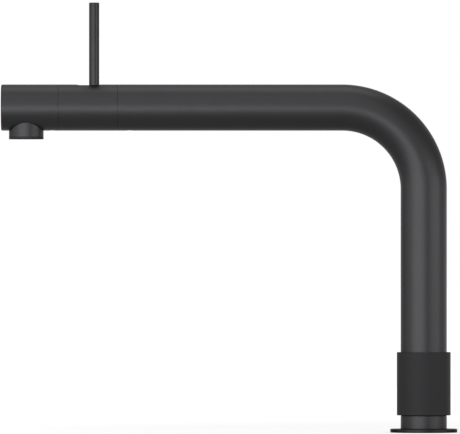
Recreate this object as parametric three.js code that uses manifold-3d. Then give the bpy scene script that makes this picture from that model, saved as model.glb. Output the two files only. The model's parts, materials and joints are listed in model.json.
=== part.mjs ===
// Boiling water tap: a swivelling spout on a round column, a push-and-turn sleeve for boiling
// water at the foot, and a mixer collar with a tilting lever near the end of the spout.
// Millimetres, +Z up. The origin is on the worktop, on the column's axis. The spout runs along -X.

import * as THREE from "three";
import { mergeVertices } from "three/addons/utils/BufferGeometryUtils.js";
import Module from "manifold-3d";

const wasm = await Module();
wasm.setup();

// Driving dimensions

const gap = 0.3; // between neighbouring pieces
const wideSides = 24; // faces round a piece over wideRadius
const plainSides = 16;
const slimSides = 8; // faces round a piece under slimRadius
const wideRadius = 8;
const slimRadius = 3.2;
const bendSteps = 9;
const circleSegments = wideSides / 2; // a drawn circle gets twice as many
const slotSegments = 8;
const past = 1; // how far a cutting shape runs past what it cuts

// Spout tube
const tubeRadius = 16;
const tubeWall = 1.5;
const spoutHeight = 225;
const bendRadius = 56.5;
const tubeReach = 212; // from the column's axis to the joint with the mixer collar

// Foot
const flangeLap = 7.25; // beyond the column
const flangeHeight = 2.5;
const flangeEdge = 0.4;
const flangeRecess = 1; // in the underside, for the shank's shoulder
const sealWidth = 3.4;
const sealMargin = 2.05; // from the flange's edge to the seal
const sealHeight = 1.1;
const neckHeight = 8.8; // visible, between the flange and the sleeve

// Push-and-turn sleeve
const sleeveWall = 2.35;
const sleeveLength = 43.7;
const sleeveEdge = 1;
const pushTravel = 4;
const sleeveRibHeight = 3;
const ribAboveSleeveFoot = 18.1;
const carrierHeight = 7.7;
const carrierCollarWall = 1;
const snapRingHeight = 1;
const snapGrooveDepth = 0.5;
const snapBite = 0.25; // how far the snap ring sits in its groove
const snapLip = 0.8; // above the groove
const snapOpening = 4;
const springWire = 1.2;
const springTurns = 4;
const springSteps = 10; // in each turn
const guideScrewRadius = 1.2;
const guideSlotDepth = 1.8;
const guideScrewTipGap = 0.5; // between the screw's tip and the slot's floor
const magnetRadius = 1.3;
const magnetInset = 0.2; // behind the rib's surface
const sensorWidth = 3.4;
const sensorHeight = 4.4;
const sensorDepth = 1.3;

// Column inside the sleeve and the tube
const columnRadius = 13;
const spigotStep = 1;
const spigotWall = 2;
const shoulderHeight = 36;
const spigotLength = 40;
const thrustHeight = 1.5;
const bushHeight = 6;
const bushInset = 1; // from the spigot's top
const stopGrooveDepth = 1;
const stopGrooveSlack = 2; // degrees past the screw at each end
const swivelScrewRadius = 2;
const swivelScrewMargin = 2; // between the lower bush and the stop groove
const swivelHalfRange = 90; // degrees each way

// Fixing under the worktop
const deckThickness = 30;
const shankRadius = 14.9;
const shankSpigotRadius = 13.2;
const shankDepth = 75;
const shankChamfer = 0.8;
const shankBore = 10.5;
const shankFootBore = 12.2;
const shankFootLength = 35;
const shankSeatDepth = 7; // how far the shank enters the column
const padHeight = 3;
const padRadius = 23;
const clampHeight = 2.5;
const clampRadius = 25;
const nutHeight = 10;
const nutAcrossFlats = 38;

// Water pipes and their inlets
const pipeRadius = 3;
const pipeBore = 2;
const pipeRing = 6.5; // radius of the circle that the three pipes stand on
const inletRadius = 5.2;
const inletLength = 24;
const inletBelowShank = 13;
const inletSocket = 8;
const inletEdge = 0.6;

// Mixer
const collarLength = 41;
const leverSetBack = 16.3; // from the tube's end to the lever's axis
const leverTilt = 27; // degrees
const collarHalfTurn = 40; // degrees each way
const leverRadius = 3.5;
const leverRise = 72.7; // from the spout's axis to the lever's tip
const leverSide = 0.4; // beside the lever in its slot
const collarWall = 1.4;
const carrierWall = 3.7;
const carrierSlack = 2; // degrees between the carrier and the bridge at full turn
const runningGap = 0.5; // between the carrier's ends and the core
const carrierScrewAngle = 60; // degrees from the top
const carrierScrewSetBack = 8; // from the lever's axis
const carrierScrewInset = 0.5; // from the carrier's inside
const rearLandDepth = 6; // how far the lands of the core reach into the collar
const frontLandDepth = 9;
const rearLandLength = 16; // inside the tube
const frontLandLength = 9; // inside the head
const bridgeHalfAngle = 30;
const bridgeDepth = 5.4;
const channelRadius = 1.3;
const channelInset = 3; // from the land's surface to the channels' axes
const channelPitch = 17; // degrees between the channels
const channelTurn = 1.5; // from the valve's back wall to where a channel turns in
const channelEnd = 1; // from that turn to the channel's end
const channelInward = 0.7; // what is left there of the channel's distance from the axis
const rearGrooveInset = 1; // from the tube's end
const frontGrooveInset = 2; // from the front land's end
const slipRingLength = 3;
const slipRingWall = 1;
const slipRingSplit = 1;
const pinRadius = 1.5;
const hubRadius = 4.5;
const hubHalfLength = 6.5;
const studRadius = 2;
const studLength = 10;
const crankArm = 6;
const crankBall = 1.3;
const spindleRadius = 2;
const discRadius = 8;
const discHeight = 3;
const discFloor = 1; // left over the stem's end
const valveBackWall = 3.5;
const seatSetBack = 1.5; // from the collar's joint
const seatRadius = 9;
const seatHeight = 3;
const seatBore = 3.5;
const retainerHeight = 2.5;
const retainerBore = 5;
const grubRadius = 2;
const coreScrewBite = 2; // how far the screw enters the core
const headScrewBite = 1;

// Head and outlet
const headLength = 39.7;
const headEdge = 1;
const headWall = 2.5;
const headEndWall = 3.2;
const nozzleSetBack = 22.3; // from the collar's joint to the nozzle's axis
const nozzleRadius = 12;
const nozzleStep = 0.4; // from its outside to its spigot
const nozzleDrop = 6; // from the underside of the spout to the outlet's rim
const aeratorRimHeight = 1.7;
const aeratorRadius = 9.6;
const aeratorBore = 7.8;
const aeratorLip = 1; // inwards, under the screen
const aeratorLedge = 1; // the lip's height
const aeratorRimEdge = 0.3;
const aeratorBodyHeight = 4;
const screenHeight = 2;
const screenHoleRadius = 0.75;
const screenRings = [{ count: 6, radius: 4 }, { count: 10, radius: 6.1 }];
const aeratorSealHeight = 1.2;
const boilingRadius = 1.9;
const boilingBore = 1.2;

// Sizes that follow from them

const tubeBore = tubeRadius - tubeWall;
const flangeRadius = tubeRadius + flangeLap;
const sealOuterRadius = flangeRadius - sealMargin;
const sealInnerRadius = sealOuterRadius - sealWidth;
const spigotRadius = columnRadius - spigotStep;
const columnBore = spigotRadius - spigotWall;
const outletHeight = spoutHeight - tubeRadius - nozzleDrop;
const landRadius = tubeBore - gap;
const bridgeInnerRadius = landRadius - bridgeDepth;
const channelRing = landRadius - channelInset;
const sleeveFoot = flangeHeight + neckHeight + 2 * gap;
const sleeveTop = sleeveFoot + sleeveLength;
const sleeveBore = tubeRadius + gap;
const sleeveRadius = sleeveBore + sleeveWall;
const neckFoot = flangeHeight + gap;
const neckTop = sleeveFoot - gap;
const tubeFoot = shoulderHeight + thrustHeight + 2 * gap;
const spigotTop = shoulderHeight + spigotLength;
const ribFoot = sleeveFoot + ribAboveSleeveFoot;
const ribTop = ribFoot + sleeveRibHeight;
const carrierTop = ribFoot - gap;
const carrierFoot = carrierTop - carrierHeight;
const carrierBore = columnRadius + gap;
const carrierCollar = carrierBore + carrierCollarWall;
const ribBore = carrierCollar + gap;
const guideHeight = (carrierFoot + carrierTop) / 2;
const swivelScrewHeight = tubeFoot + bushHeight + 2 * gap + swivelScrewRadius + swivelScrewMargin;
const headStart = collarLength;
const headEnd = headStart + headLength;
const nozzleAxis = headStart + nozzleSetBack;
const nozzleReach = tubeReach + nozzleAxis;
const frontLandStart = collarLength - frontLandDepth;
const frontLandEnd = collarLength + frontLandLength;
const headScrewPlace = headStart + frontLandLength / 2;
const carrierScrewPlace = leverSetBack + carrierScrewSetBack;
const collarBore = tubeRadius - collarWall;
const carrierRadius = collarBore - gap;
const slotRear = leverRadius + 1.2 * leverSide;
const tiltAngle = THREE.MathUtils.degToRad(leverTilt);
const leverLean = tubeRadius * Math.tan(tiltAngle) + leverRadius / Math.cos(tiltAngle);
const slotFront = leverLean + leverSide;
const crankTravel = crankArm * tiltAngle;
const seatStart = collarLength + seatSetBack;
const chamberRadius = tubeRadius - headWall;
const nozzleSpigot = nozzleRadius - nozzleStep;
const nozzleTop = spoutHeight - chamberRadius;
const aeratorBodyTop = outletHeight + aeratorRimHeight + aeratorBodyHeight;

const degrees = THREE.MathUtils.degToRad;

// Geometry helpers

// A solid from a geometry whose faces close, with shared corners merged and slivers dropped.
function solidOf(geometry) {
  const bare = geometry.clone();
  bare.deleteAttribute("normal");
  bare.deleteAttribute("uv");
  const merged = mergeVertices(bare, 1e-4);
  const corners = merged.index.array;
  const kept = [];
  for (let i = 0; i < corners.length; i += 3) {
    const [a, b, c] = [corners[i], corners[i + 1], corners[i + 2]];
    if (a !== b && b !== c && c !== a) kept.push(a, b, c);
  }
  const vertProperties = merged.attributes.position.array;
  return new wasm.Manifold(
    new wasm.Mesh({ numProp: 3, vertProperties, triVerts: new Uint32Array(kept) }),
  );
}

function geometryOf(solid) {
  const mesh = solid.getMesh();
  const geometry = new THREE.BufferGeometry();
  geometry.setAttribute("position", new THREE.BufferAttribute(mesh.vertProperties, 3));
  geometry.setIndex(new THREE.BufferAttribute(mesh.triVerts, 1));
  geometry.computeVertexNormals();
  return geometry;
}

function cut(geometry, ...tools) {
  return geometryOf(tools.reduce((left, tool) => left.subtract(solidOf(tool)), solidOf(geometry)));
}

function join(geometry, ...others) {
  return geometryOf(others.reduce((whole, other) => whole.add(solidOf(other)), solidOf(geometry)));
}

function common(geometry, other) {
  return geometryOf(solidOf(geometry).intersect(solidOf(other)));
}

// Pieces of like radius have like faces, so that one fits inside the other.
function sidesFor(radius) {
  if (radius > wideRadius) return wideSides;
  return radius < slimRadius ? slimSides : plainSides;
}

// Revolves an outline of [radius, height] points about +Z. It runs up its outer side first.
function turned(outline) {
  const sides = sidesFor(Math.max(...outline.map(([r]) => r)));
  const closes = outline[0][0] > 0;
  const points = (closes ? [...outline, outline[0]] : outline).map(([r, z]) => new THREE.Vector2(r, z));
  return new THREE.LatheGeometry(points, sides).rotateX(Math.PI / 2);
}

function ring(inner, outer, foot, top) {
  return turned([[inner, foot], [outer, foot], [outer, top], [inner, top]]);
}

function rod(radius, foot, top) {
  return turned([[0, foot], [radius, foot], [radius, top], [0, top]]);
}

// Points of a quarter-round edge after its first, in [radius, height].
function arcPoints(centreR, centreZ, radius, from, to, steps = 2) {
  return Array.from({ length: steps }, (_, i) => {
    const angle = degrees(from + ((to - from) * (i + 1)) / steps);
    return [centreR + radius * Math.cos(angle), centreZ + radius * Math.sin(angle)];
  });
}

// A rod that points out from the axis at a height, turned by an angle from +X.
function radialRod(radius, from, to, height, angle) {
  return rod(radius, from, to)
    .rotateY(Math.PI / 2)
    .rotateZ(degrees(angle))
    .translate(0, 0, height);
}

// A pie slice about the axis, from one height to another, centred on an angle from +X.
function slice(halfAngle, centre, radius, foot, top) {
  const shape = new THREE.Shape();
  const [from, to] = [degrees(centre - halfAngle), degrees(centre + halfAngle)];
  shape.moveTo(0, 0);
  shape.lineTo(radius * Math.cos(from), radius * Math.sin(from));
  shape.absarc(0, 0, radius, from, to, false);
  const settings = { depth: top - foot, bevelEnabled: false, curveSegments: circleSegments };
  return new THREE.ExtrudeGeometry(shape, settings).translate(0, 0, foot);
}

function block(sizeX, sizeY, sizeZ, x, y, z) {
  return new THREE.BoxGeometry(sizeX, sizeY, sizeZ).translate(x, y, z);
}

// A slot with round ends along Z, cut by a prism that points along +X.
function slotPrism(halfWidth, rear, front, length) {
  const shape = new THREE.Shape();
  shape.absarc(0, rear + halfWidth, halfWidth, Math.PI, 2 * Math.PI, false);
  shape.absarc(0, front - halfWidth, halfWidth, 0, Math.PI, false);
  const settings = { depth: length, bevelEnabled: false, curveSegments: slotSegments };
  return new THREE.ExtrudeGeometry(shape, settings)
    .rotateZ(-Math.PI / 2)
    .rotateY(Math.PI / 2)
    .rotateX(Math.PI);
}

// A round bar or pipe through stations of { point, along }, closed at both ends. Its rings lie square
// to the direction across, which is Y or the station's own.
function sweep(stations, radius, bore, sides) {
  const positions = [];
  const faces = [];
  const addRing = (station, r) => {
    const start = positions.length / 3;
    const across = station.across ?? new THREE.Vector3(0, 1, 0);
    const normal = across.clone().cross(station.along).normalize();
    const side = station.along.clone().cross(normal).normalize();
    for (let k = 0; k < sides; k++) {
      const angle = (2 * Math.PI * k) / sides;
      const corner = station.point
        .clone()
        .addScaledVector(normal, r * Math.cos(angle))
        .addScaledVector(side, r * Math.sin(angle));
      positions.push(corner.x, corner.y, corner.z);
    }
    return start;
  };
  const bridge = (low, high) => {
    for (let k = 0; k < sides; k++) {
      const next = (k + 1) % sides;
      faces.push(low + k, low + next, high + next, low + k, high + next, high + k);
    }
  };
  const outer = stations.map((station) => addRing(station, radius));
  outer.slice(1).forEach((high, i) => bridge(outer[i], high));
  const last = outer.length - 1;
  if (bore) {
    const inner = stations.map((station) => addRing(station, bore));
    inner.slice(1).forEach((high, i) => bridge(high, inner[i]));
    bridge(inner[0], outer[0]);
    bridge(outer[last], inner[last]);
  } else {
    for (let k = 1; k < sides - 1; k++) {
      faces.push(outer[0], outer[0] + k + 1, outer[0] + k);
      faces.push(outer[last], outer[last] + k, outer[last] + k + 1);
    }
  }
  const geometry = new THREE.BufferGeometry();
  geometry.setAttribute("position", new THREE.Float32BufferAttribute(positions, 3));
  geometry.setIndex(faces);
  return geometry;
}

// Stations on the spout's centre line, moved towards the outside of the bend and along +Y.
function spoutStations(outward, sideways, foot, reach) {
  const place = (x, z, angle) => ({
    point: new THREE.Vector3(x, sideways, z),
    along: new THREE.Vector3(-Math.sin(angle), 0, Math.cos(angle)),
  });
  const stations = [place(outward, foot, 0)];
  for (let i = 0; i <= bendSteps; i++) {
    const angle = (Math.PI / 2) * (i / bendSteps);
    const radius = bendRadius + outward;
    const x = -bendRadius + radius * Math.cos(angle);
    const z = spoutHeight - bendRadius + radius * Math.sin(angle);
    stations.push(place(x, z, angle));
  }
  stations.push(place(-reach, spoutHeight + outward, Math.PI / 2));
  return stations;
}

// Stations through a few corner points, each facing halfway between its two stretches.
function cornerStations(points) {
  const corners = points.map((p) => new THREE.Vector3(...p));
  return corners.map((point, i) => {
    const along = new THREE.Vector3();
    if (i > 0) along.add(point.clone().sub(corners[i - 1]).normalize());
    if (i < corners.length - 1) along.add(corners[i + 1].clone().sub(point).normalize());
    return { point, along: along.normalize() };
  });
}

// Finishes

const finish = (color, roughness, metalness) =>
  new THREE.MeshStandardMaterial({ color, roughness, metalness });
const satinBlack = () => finish(0x2b2b2c, 0.38, 0.6);
const softBlack = () => finish(0x232324, 0.6, 0);
const brass = () => finish(0xb08d4a, 0.35, 1);
const steel = () => finish(0xb9bbbd, 0.3, 1);
const copper = () => finish(0xb87048, 0.35, 1);
const rubber = () => finish(0x1c1c1c, 0.8, 0);
const acetal = () => finish(0xe6e4dc, 0.45, 0);
const ceramic = () => finish(0xf2f0ea, 0.2, 0);
const nickel = () => finish(0x4a4a4e, 0.3, 0.8);

const tap = new THREE.Group();
const base = new THREE.Group();
const control = new THREE.Group();
const spout = new THREE.Group();
const mixer = new THREE.Group();
const outlet = new THREE.Group();

// The mixer's own frame: +Z runs along the spout from the tube's end, and +X points up.
mixer.position.set(-tubeReach, 0, spoutHeight);
mixer.rotation.y = -Math.PI / 2;
outlet.position.set(-nozzleReach, 0, 0);
spout.add(mixer, outlet);
tap.add(base, control, spout);

function piece(group, name, geometry, material) {
  const mesh = new THREE.Mesh(geometry, material);
  mesh.name = name;
  group.add(mesh);
  return mesh;
}

// Foot: flange, seal, column and the fixing under the worktop

function baseFlange() {
  const outline = [
    [shankRadius + gap, 0],
    [sealInnerRadius - gap, 0],
    [sealInnerRadius - gap, sealHeight + gap],
    [sealOuterRadius + gap, sealHeight + gap],
    [sealOuterRadius + gap, 0],
    [flangeRadius, 0],
    [flangeRadius, flangeHeight - flangeEdge],
    ...arcPoints(flangeRadius - flangeEdge, flangeHeight - flangeEdge, flangeEdge, 0, 90),
    [shankSpigotRadius + gap, flangeHeight],
    [shankSpigotRadius + gap, flangeRecess],
    [shankRadius + gap, flangeRecess],
  ];
  piece(base, "base_flange", turned(outline), satinBlack());
  piece(base, "flange_seal", ring(sealInnerRadius, sealOuterRadius, 0, sealHeight), rubber());
}

function baseColumn() {
  const socketTop = neckFoot + shankSeatDepth;
  const outline = [
    [shankSpigotRadius + gap, neckFoot],
    [tubeRadius, neckFoot],
    [tubeRadius, neckTop],
    [columnRadius, neckTop],
    [columnRadius, shoulderHeight],
    [spigotRadius, shoulderHeight],
    [spigotRadius, spigotTop],
    [columnBore, spigotTop],
    [columnBore, socketTop],
    [shankSpigotRadius + gap, socketTop],
  ];
  const body = turned(outline);
  const guideSlot = block(
    columnRadius,
    2 * (guideScrewRadius + gap),
    pushTravel + 2 * (guideScrewRadius + gap),
    guideSlotDepth - 1.5 * columnRadius,
    0,
    guideHeight - pushTravel / 2,
  );
  const sensorPocket = block(
    sensorWidth + 2 * gap,
    2 * (sensorDepth + 2 * gap),
    sensorHeight + 2 * gap,
    0,
    columnRadius,
    ribTop,
  );
  const screwHalfAngle = THREE.MathUtils.radToDeg(Math.asin(swivelScrewRadius / spigotRadius));
  const grooveHalfAngle = swivelHalfRange + screwHalfAngle + stopGrooveSlack;
  const grooveFoot = swivelScrewHeight - swivelScrewRadius - gap;
  const grooveTop = swivelScrewHeight + swivelScrewRadius + gap;
  const groove = common(
    ring(spigotRadius - stopGrooveDepth, spigotRadius + past, grooveFoot, grooveTop),
    slice(grooveHalfAngle, 90, 2 * spigotRadius, 0, spigotTop),
  );
  piece(base, "base_column", cut(body, guideSlot, sensorPocket, groove), satinBlack());

  const sensor = new THREE.BoxGeometry(sensorWidth, sensorDepth, sensorHeight);
  const sensorMesh = piece(base, "position_sensor", sensor, softBlack());
  sensorMesh.position.set(0, columnRadius - gap - sensorDepth / 2, ribTop);
}

function swivelBearings() {
  const inner = spigotRadius + gap;
  const outer = tubeBore - gap;
  const thrustFoot = shoulderHeight + gap;
  const lowerFoot = tubeFoot + gap;
  const upperTop = spigotTop - bushInset;
  const thrust = ring(inner, tubeRadius - gap, thrustFoot, thrustFoot + thrustHeight);
  piece(base, "thrust_washer", thrust, acetal());
  piece(base, "lower_bush", ring(inner, outer, lowerFoot, lowerFoot + bushHeight), acetal());
  piece(base, "upper_bush", ring(inner, outer, upperTop - bushHeight, upperTop), acetal());
}

function deckFixing() {
  const shoulder = flangeRecess - gap;
  const footTop = shankFootLength - shankDepth;
  const shank = turned([
    [shankFootBore, -shankDepth],
    [shankRadius - shankChamfer, -shankDepth],
    [shankRadius, shankChamfer - shankDepth],
    [shankRadius, shoulder],
    [shankSpigotRadius, shoulder],
    [shankSpigotRadius, neckFoot + shankSeatDepth - gap],
    [shankBore, neckFoot + shankSeatDepth - gap],
    [shankBore, footTop],
    [shankFootBore, footTop],
  ]);
  piece(base, "threaded_shank", shank, brass());

  const hole = shankRadius + gap;
  const padTop = -deckThickness;
  const clampTop = padTop - padHeight - gap;
  const nutTop = clampTop - clampHeight - gap;
  piece(base, "rubber_pad", ring(hole, padRadius, padTop - padHeight, padTop), rubber());
  piece(base, "clamp_washer", ring(hole, clampRadius, clampTop - clampHeight, clampTop), steel());

  const corner = nutAcrossFlats / 2 / Math.cos(Math.PI / 6);
  const corners = Array.from({ length: 6 }, (_, i) => {
    const angle = (Math.PI / 3) * i;
    return new THREE.Vector2(corner * Math.cos(angle), corner * Math.sin(angle));
  });
  const hexagon = new THREE.Shape(corners);
  hexagon.holes.push(new THREE.Path().absarc(0, 0, hole, 0, 2 * Math.PI, true));
  const settings = { depth: nutHeight, bevelEnabled: false, curveSegments: circleSegments };
  const nut = new THREE.ExtrudeGeometry(hexagon, settings);
  piece(base, "lock_nut", nut, brass()).position.z = nutTop - nutHeight;
}

// Push-and-turn sleeve: the carrier slides on a key, and the sleeve turns on the carrier

function controlSleeve() {
  const snapFoot = ribTop + gap;
  const snapTop = snapFoot + snapRingHeight;
  const snapGroove = carrierCollar - snapGrooveDepth;
  const carrierBody = turned([
    [carrierBore, carrierFoot],
    [sleeveBore - gap, carrierFoot],
    [sleeveBore - gap, carrierTop],
    [carrierCollar, carrierTop],
    [carrierCollar, snapFoot - gap / 2],
    [snapGroove, snapFoot - gap / 2],
    [snapGroove, snapTop + gap / 2],
    [carrierCollar, snapTop + gap / 2],
    [carrierCollar, snapTop + snapLip],
    [carrierBore, snapTop + snapLip],
  ]);
  const keyHole = radialRod(guideScrewRadius + gap, columnRadius - past, sleeveRadius, guideHeight, 180);
  piece(control, "control_carrier", cut(carrierBody, keyHole), acetal());

  const keyFrom = columnRadius - guideSlotDepth + guideScrewTipGap;
  const keyTo = sleeveBore - 2 * gap;
  piece(control, "guide_screw", radialRod(guideScrewRadius, keyFrom, keyTo, guideHeight, 180), steel());

  const snap = ring(carrierCollar - snapBite, sleeveBore - gap, snapFoot, snapTop);
  const opening = block(columnRadius, snapOpening, 3 * snapRingHeight, -carrierCollar, 0, snapFoot);
  piece(control, "snap_ring", cut(snap, opening), steel());

  const sleeveBody = turned([
    [sleeveBore, sleeveFoot],
    [sleeveRadius - sleeveEdge, sleeveFoot],
    ...arcPoints(sleeveRadius - sleeveEdge, sleeveFoot + sleeveEdge, sleeveEdge, -90, 0),
    [sleeveRadius, sleeveTop - sleeveEdge],
    ...arcPoints(sleeveRadius - sleeveEdge, sleeveTop - sleeveEdge, sleeveEdge, 0, 90),
    [sleeveBore, sleeveTop],
    [sleeveBore, ribTop],
    [ribBore, ribTop],
    [ribBore, ribFoot],
    [sleeveBore, ribFoot],
  ]);
  const magnetHeight = (ribFoot + ribTop) / 2;
  const magnetHole = radialRod(magnetRadius + gap / 2, ribBore - past, sleeveBore, magnetHeight, 90);
  piece(control, "control_sleeve", cut(sleeveBody, magnetHole), softBlack());
  const [magnetFrom, magnetTo] = [ribBore + magnetInset, sleeveBore - magnetInset];
  piece(control, "sleeve_magnet", radialRod(magnetRadius, magnetFrom, magnetTo, magnetHeight, 90), steel());
}

// A coil spring of one unbroken wire between the neck and the carrier.
function returnSpring() {
  const foot = neckTop + gap + springWire / 2;
  const top = carrierFoot - gap - springWire / 2;
  const radius = (columnRadius + sleeveBore) / 2;
  const climb = (top - foot) / (2 * Math.PI * springTurns); // for each radian
  const wireSides = 6;
  const stations = Array.from({ length: springTurns * springSteps + 1 }, (_, i) => {
    const angle = (2 * Math.PI * i) / springSteps;
    const across = new THREE.Vector3(Math.cos(angle), Math.sin(angle), 0);
    return {
      point: across.clone().multiplyScalar(radius).setZ(foot + climb * angle),
      along: new THREE.Vector3(-radius * Math.sin(angle), radius * Math.cos(angle), climb).normalize(),
      across,
    };
  });
  piece(control, "return_spring", sweep(stations, springWire / 2, 0, wireSides), steel());
  return leastGapBetweenTurns(stations);
}

// Measured between the spring's stations that lie half a turn or more apart.
function leastGapBetweenTurns(stations) {
  let least = Infinity;
  stations.forEach(({ point }, i) => {
    for (const other of stations.slice(i + springSteps / 2)) {
      least = Math.min(least, point.distanceTo(other.point) - springWire);
    }
  });
  return least;
}

// Spout: tube, stop screw, and the three pipes inside it

function spoutTube() {
  const tube = sweep(spoutStations(0, 0, tubeFoot, tubeReach), tubeRadius, tubeBore, wideSides);
  const stopHole = radialRod(swivelScrewRadius + gap, columnRadius, 2 * tubeRadius, swivelScrewHeight, 90);
  const coreHole = radialRod(grubRadius + gap, tubeBore - past, 2 * tubeRadius, 0, 180)
    .applyMatrix4(new THREE.Matrix4().makeRotationY(-Math.PI / 2))
    .translate(-tubeReach + rearLandLength / 2, 0, spoutHeight);
  piece(spout, "spout_tube", cut(tube, stopHole, coreHole), satinBlack());
  const screwTip = spigotRadius - stopGrooveDepth + gap;
  const stopScrew = radialRod(swivelScrewRadius, screwTip, tubeRadius - gap, swivelScrewHeight, 90);
  piece(spout, "swivel_screw", stopScrew, steel());
}

// Each water line's place on the pipe ring in degrees, and its channel's place in the bridge.
const lines = [
  { name: "boiling", angle: 180, lane: 0, metal: steel },
  { name: "hot", angle: 60, lane: -1, metal: copper },
  { name: "cold", angle: -60, lane: 1, metal: copper },
];

function waterLines() {
  const inletFoot = -shankDepth - inletBelowShank;
  const inletTop = inletFoot + inletLength;
  const pipeFoot = inletTop - inletSocket + gap;
  const pipeReach = tubeReach - rearLandLength + inletSocket - gap;
  for (const { name, angle, metal } of lines) {
    const outward = pipeRing * Math.cos(degrees(angle));
    const sideways = pipeRing * Math.sin(degrees(angle));
    const route = spoutStations(outward, sideways, pipeFoot, pipeReach);
    piece(spout, `${name}_pipe`, sweep(route, pipeRadius, pipeBore, slimSides), metal());
    const inlet = turned([
      [pipeBore, inletFoot],
      [inletRadius - inletEdge, inletFoot],
      [inletRadius, inletFoot + inletEdge],
      [inletRadius, inletTop],
      [pipeRadius + gap, inletTop],
      [pipeRadius + gap, inletTop - inletSocket],
      [pipeBore, inletTop - inletSocket],
    ]);
    piece(spout, `${name}_inlet`, inlet, brass()).position.set(outward, sideways, 0);
  }
}

// Mixer core: a land in the tube, a land in the head, and a bridge below the lever that carries
// the water past it

function mixerCore() {
  const grooveBottom = landRadius - slipRingWall - gap;
  const grooveFrom = (start) => [start, start + slipRingLength + 2 * gap];
  const rearGroove = grooveFrom(rearGrooveInset);
  const frontGroove = grooveFrom(frontLandStart + frontGrooveInset);
  const rearLand = turned([
    [0, -rearLandLength],
    [landRadius, -rearLandLength],
    [landRadius, rearGroove[0]],
    [grooveBottom, rearGroove[0]],
    [grooveBottom, rearGroove[1]],
    [landRadius, rearGroove[1]],
    [landRadius, rearLandDepth],
    [0, rearLandDepth],
  ]);
  const cavity = discRadius + 2 * gap;
  const seatBed = seatStart - gap;
  const backWall = frontLandStart + valveBackWall;
  const frontLand = turned([
    [spindleRadius + gap, frontLandStart],
    [landRadius, frontLandStart],
    [landRadius, frontGroove[0]],
    [grooveBottom, frontGroove[0]],
    [grooveBottom, frontGroove[1]],
    [landRadius, frontGroove[1]],
    [landRadius, frontLandEnd],
    [seatRadius + gap, frontLandEnd],
    [seatRadius + gap, seatBed],
    [cavity, seatBed],
    [cavity, backWall],
    [spindleRadius + gap, backWall],
  ]);
  const bridge = common(
    ring(bridgeInnerRadius, landRadius, rearLandDepth - past, frontLandStart + past),
    slice(bridgeHalfAngle, 180, 2 * landRadius, 0, collarLength),
  );
  const sockets = [];
  const channels = [];
  for (const { name, angle, lane } of lines) {
    const [x, y] = [pipeRing * Math.cos(degrees(angle)), pipeRing * Math.sin(degrees(angle))];
    const side = 180 + channelPitch * lane;
    const [cx, cy] = [channelRing * Math.cos(degrees(side)), channelRing * Math.sin(degrees(side))];
    const socketFoot = -rearLandLength + inletSocket;
    sockets.push(rod(pipeRadius + gap, -rearLandLength - past, socketFoot).translate(x, y, 0));
    const points = [[x, y, socketFoot - past], [x, y, socketFoot + past], [cx, cy, rearGroove[1]]];
    if (name === "boiling") {
      points.push([cx, cy, frontLandEnd + past]);
    } else {
      const turn = backWall + channelTurn;
      points.push([cx, cy, turn], [cx * channelInward, cy * channelInward, turn + channelEnd]);
    }
    channels.push(channelSolid(points));
  }
  const dimple = (bite, place) =>
    radialRod(grubRadius + gap, landRadius - bite, 2 * landRadius, place, 180);
  const coreDimple = dimple(coreScrewBite, -rearLandLength / 2);
  const headDimple = dimple(headScrewBite, headScrewPlace);
  const body = join(rearLand, frontLand, bridge);
  piece(mixer, "mixer_core", cut(body, ...sockets, ...channels, coreDimple, headDimple), brass());

  const slipRing = (foot) => {
    const [inner, outer] = [landRadius - slipRingWall + gap / 2, collarBore - gap / 2];
    const split = block(4 * slipRingWall, slipRingSplit, 3 * slipRingLength, landRadius, 0, foot);
    return cut(ring(inner, outer, foot, foot + slipRingLength), split);
  };
  piece(mixer, "rear_slip_ring", slipRing(rearGroove[0] + gap), acetal());
  piece(mixer, "front_slip_ring", slipRing(frontGroove[0] + gap), acetal());
}

function channelSolid(points) {
  const channelSides = 6;
  return sweep(cornerStations(points), channelRadius, 0, channelSides);
}

function mixerScrews() {
  const screw = (bite, place) =>
    radialRod(grubRadius, landRadius - bite + gap, tubeRadius - gap, place, 180);
  piece(mixer, "core_screw", screw(coreScrewBite, -rearLandLength / 2), steel());
  piece(mixer, "head_screw", screw(headScrewBite, headScrewPlace), steel());
}

// Mixer collar: it turns about the spout's axis and carries the lever's pin

function mixerCollar() {
  const [slotFrom, slotTo] = [leverSetBack - slotRear, leverSetBack + slotFront];
  const slot = slotPrism(leverRadius + leverSide, slotFrom, slotTo, 2 * tubeRadius);
  const screwHole = radialRod(pinRadius + gap, 0, 2 * tubeRadius, carrierScrewPlace, carrierScrewAngle);
  const shell = ring(collarBore, tubeRadius, gap, collarLength - gap);
  piece(mixer, "mixer_collar", cut(shell, slot, screwHole), satinBlack());

  const carrierStart = rearLandDepth + runningGap;
  const carrierEnd = frontLandStart - runningGap;
  const carrierInner = carrierRadius - carrierWall;
  const opening = bridgeHalfAngle + collarHalfTurn + carrierSlack;
  const blank = ring(carrierInner, carrierRadius, carrierStart, carrierEnd);
  const pinHole = radialRod(pinRadius + gap, -tubeRadius, tubeRadius, leverSetBack, 90);
  const bridgeRoom = slice(opening, 180, 2 * tubeRadius, 0, collarLength);
  piece(mixer, "lever_carrier", cut(blank, slot, screwHole, pinHole, bridgeRoom), brass());

  const pin = radialRod(pinRadius, -carrierRadius + gap, carrierRadius - gap, leverSetBack, 90);
  piece(mixer, "pivot_pin", pin, steel());
  const tip = carrierInner + carrierScrewInset;
  const screw = radialRod(pinRadius, tip, tubeRadius - gap, carrierScrewPlace, carrierScrewAngle);
  piece(mixer, "carrier_screw", screw, steel());
}

// Lever: a plain rod on a hub, whose ball below moves the valve spindle

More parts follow.
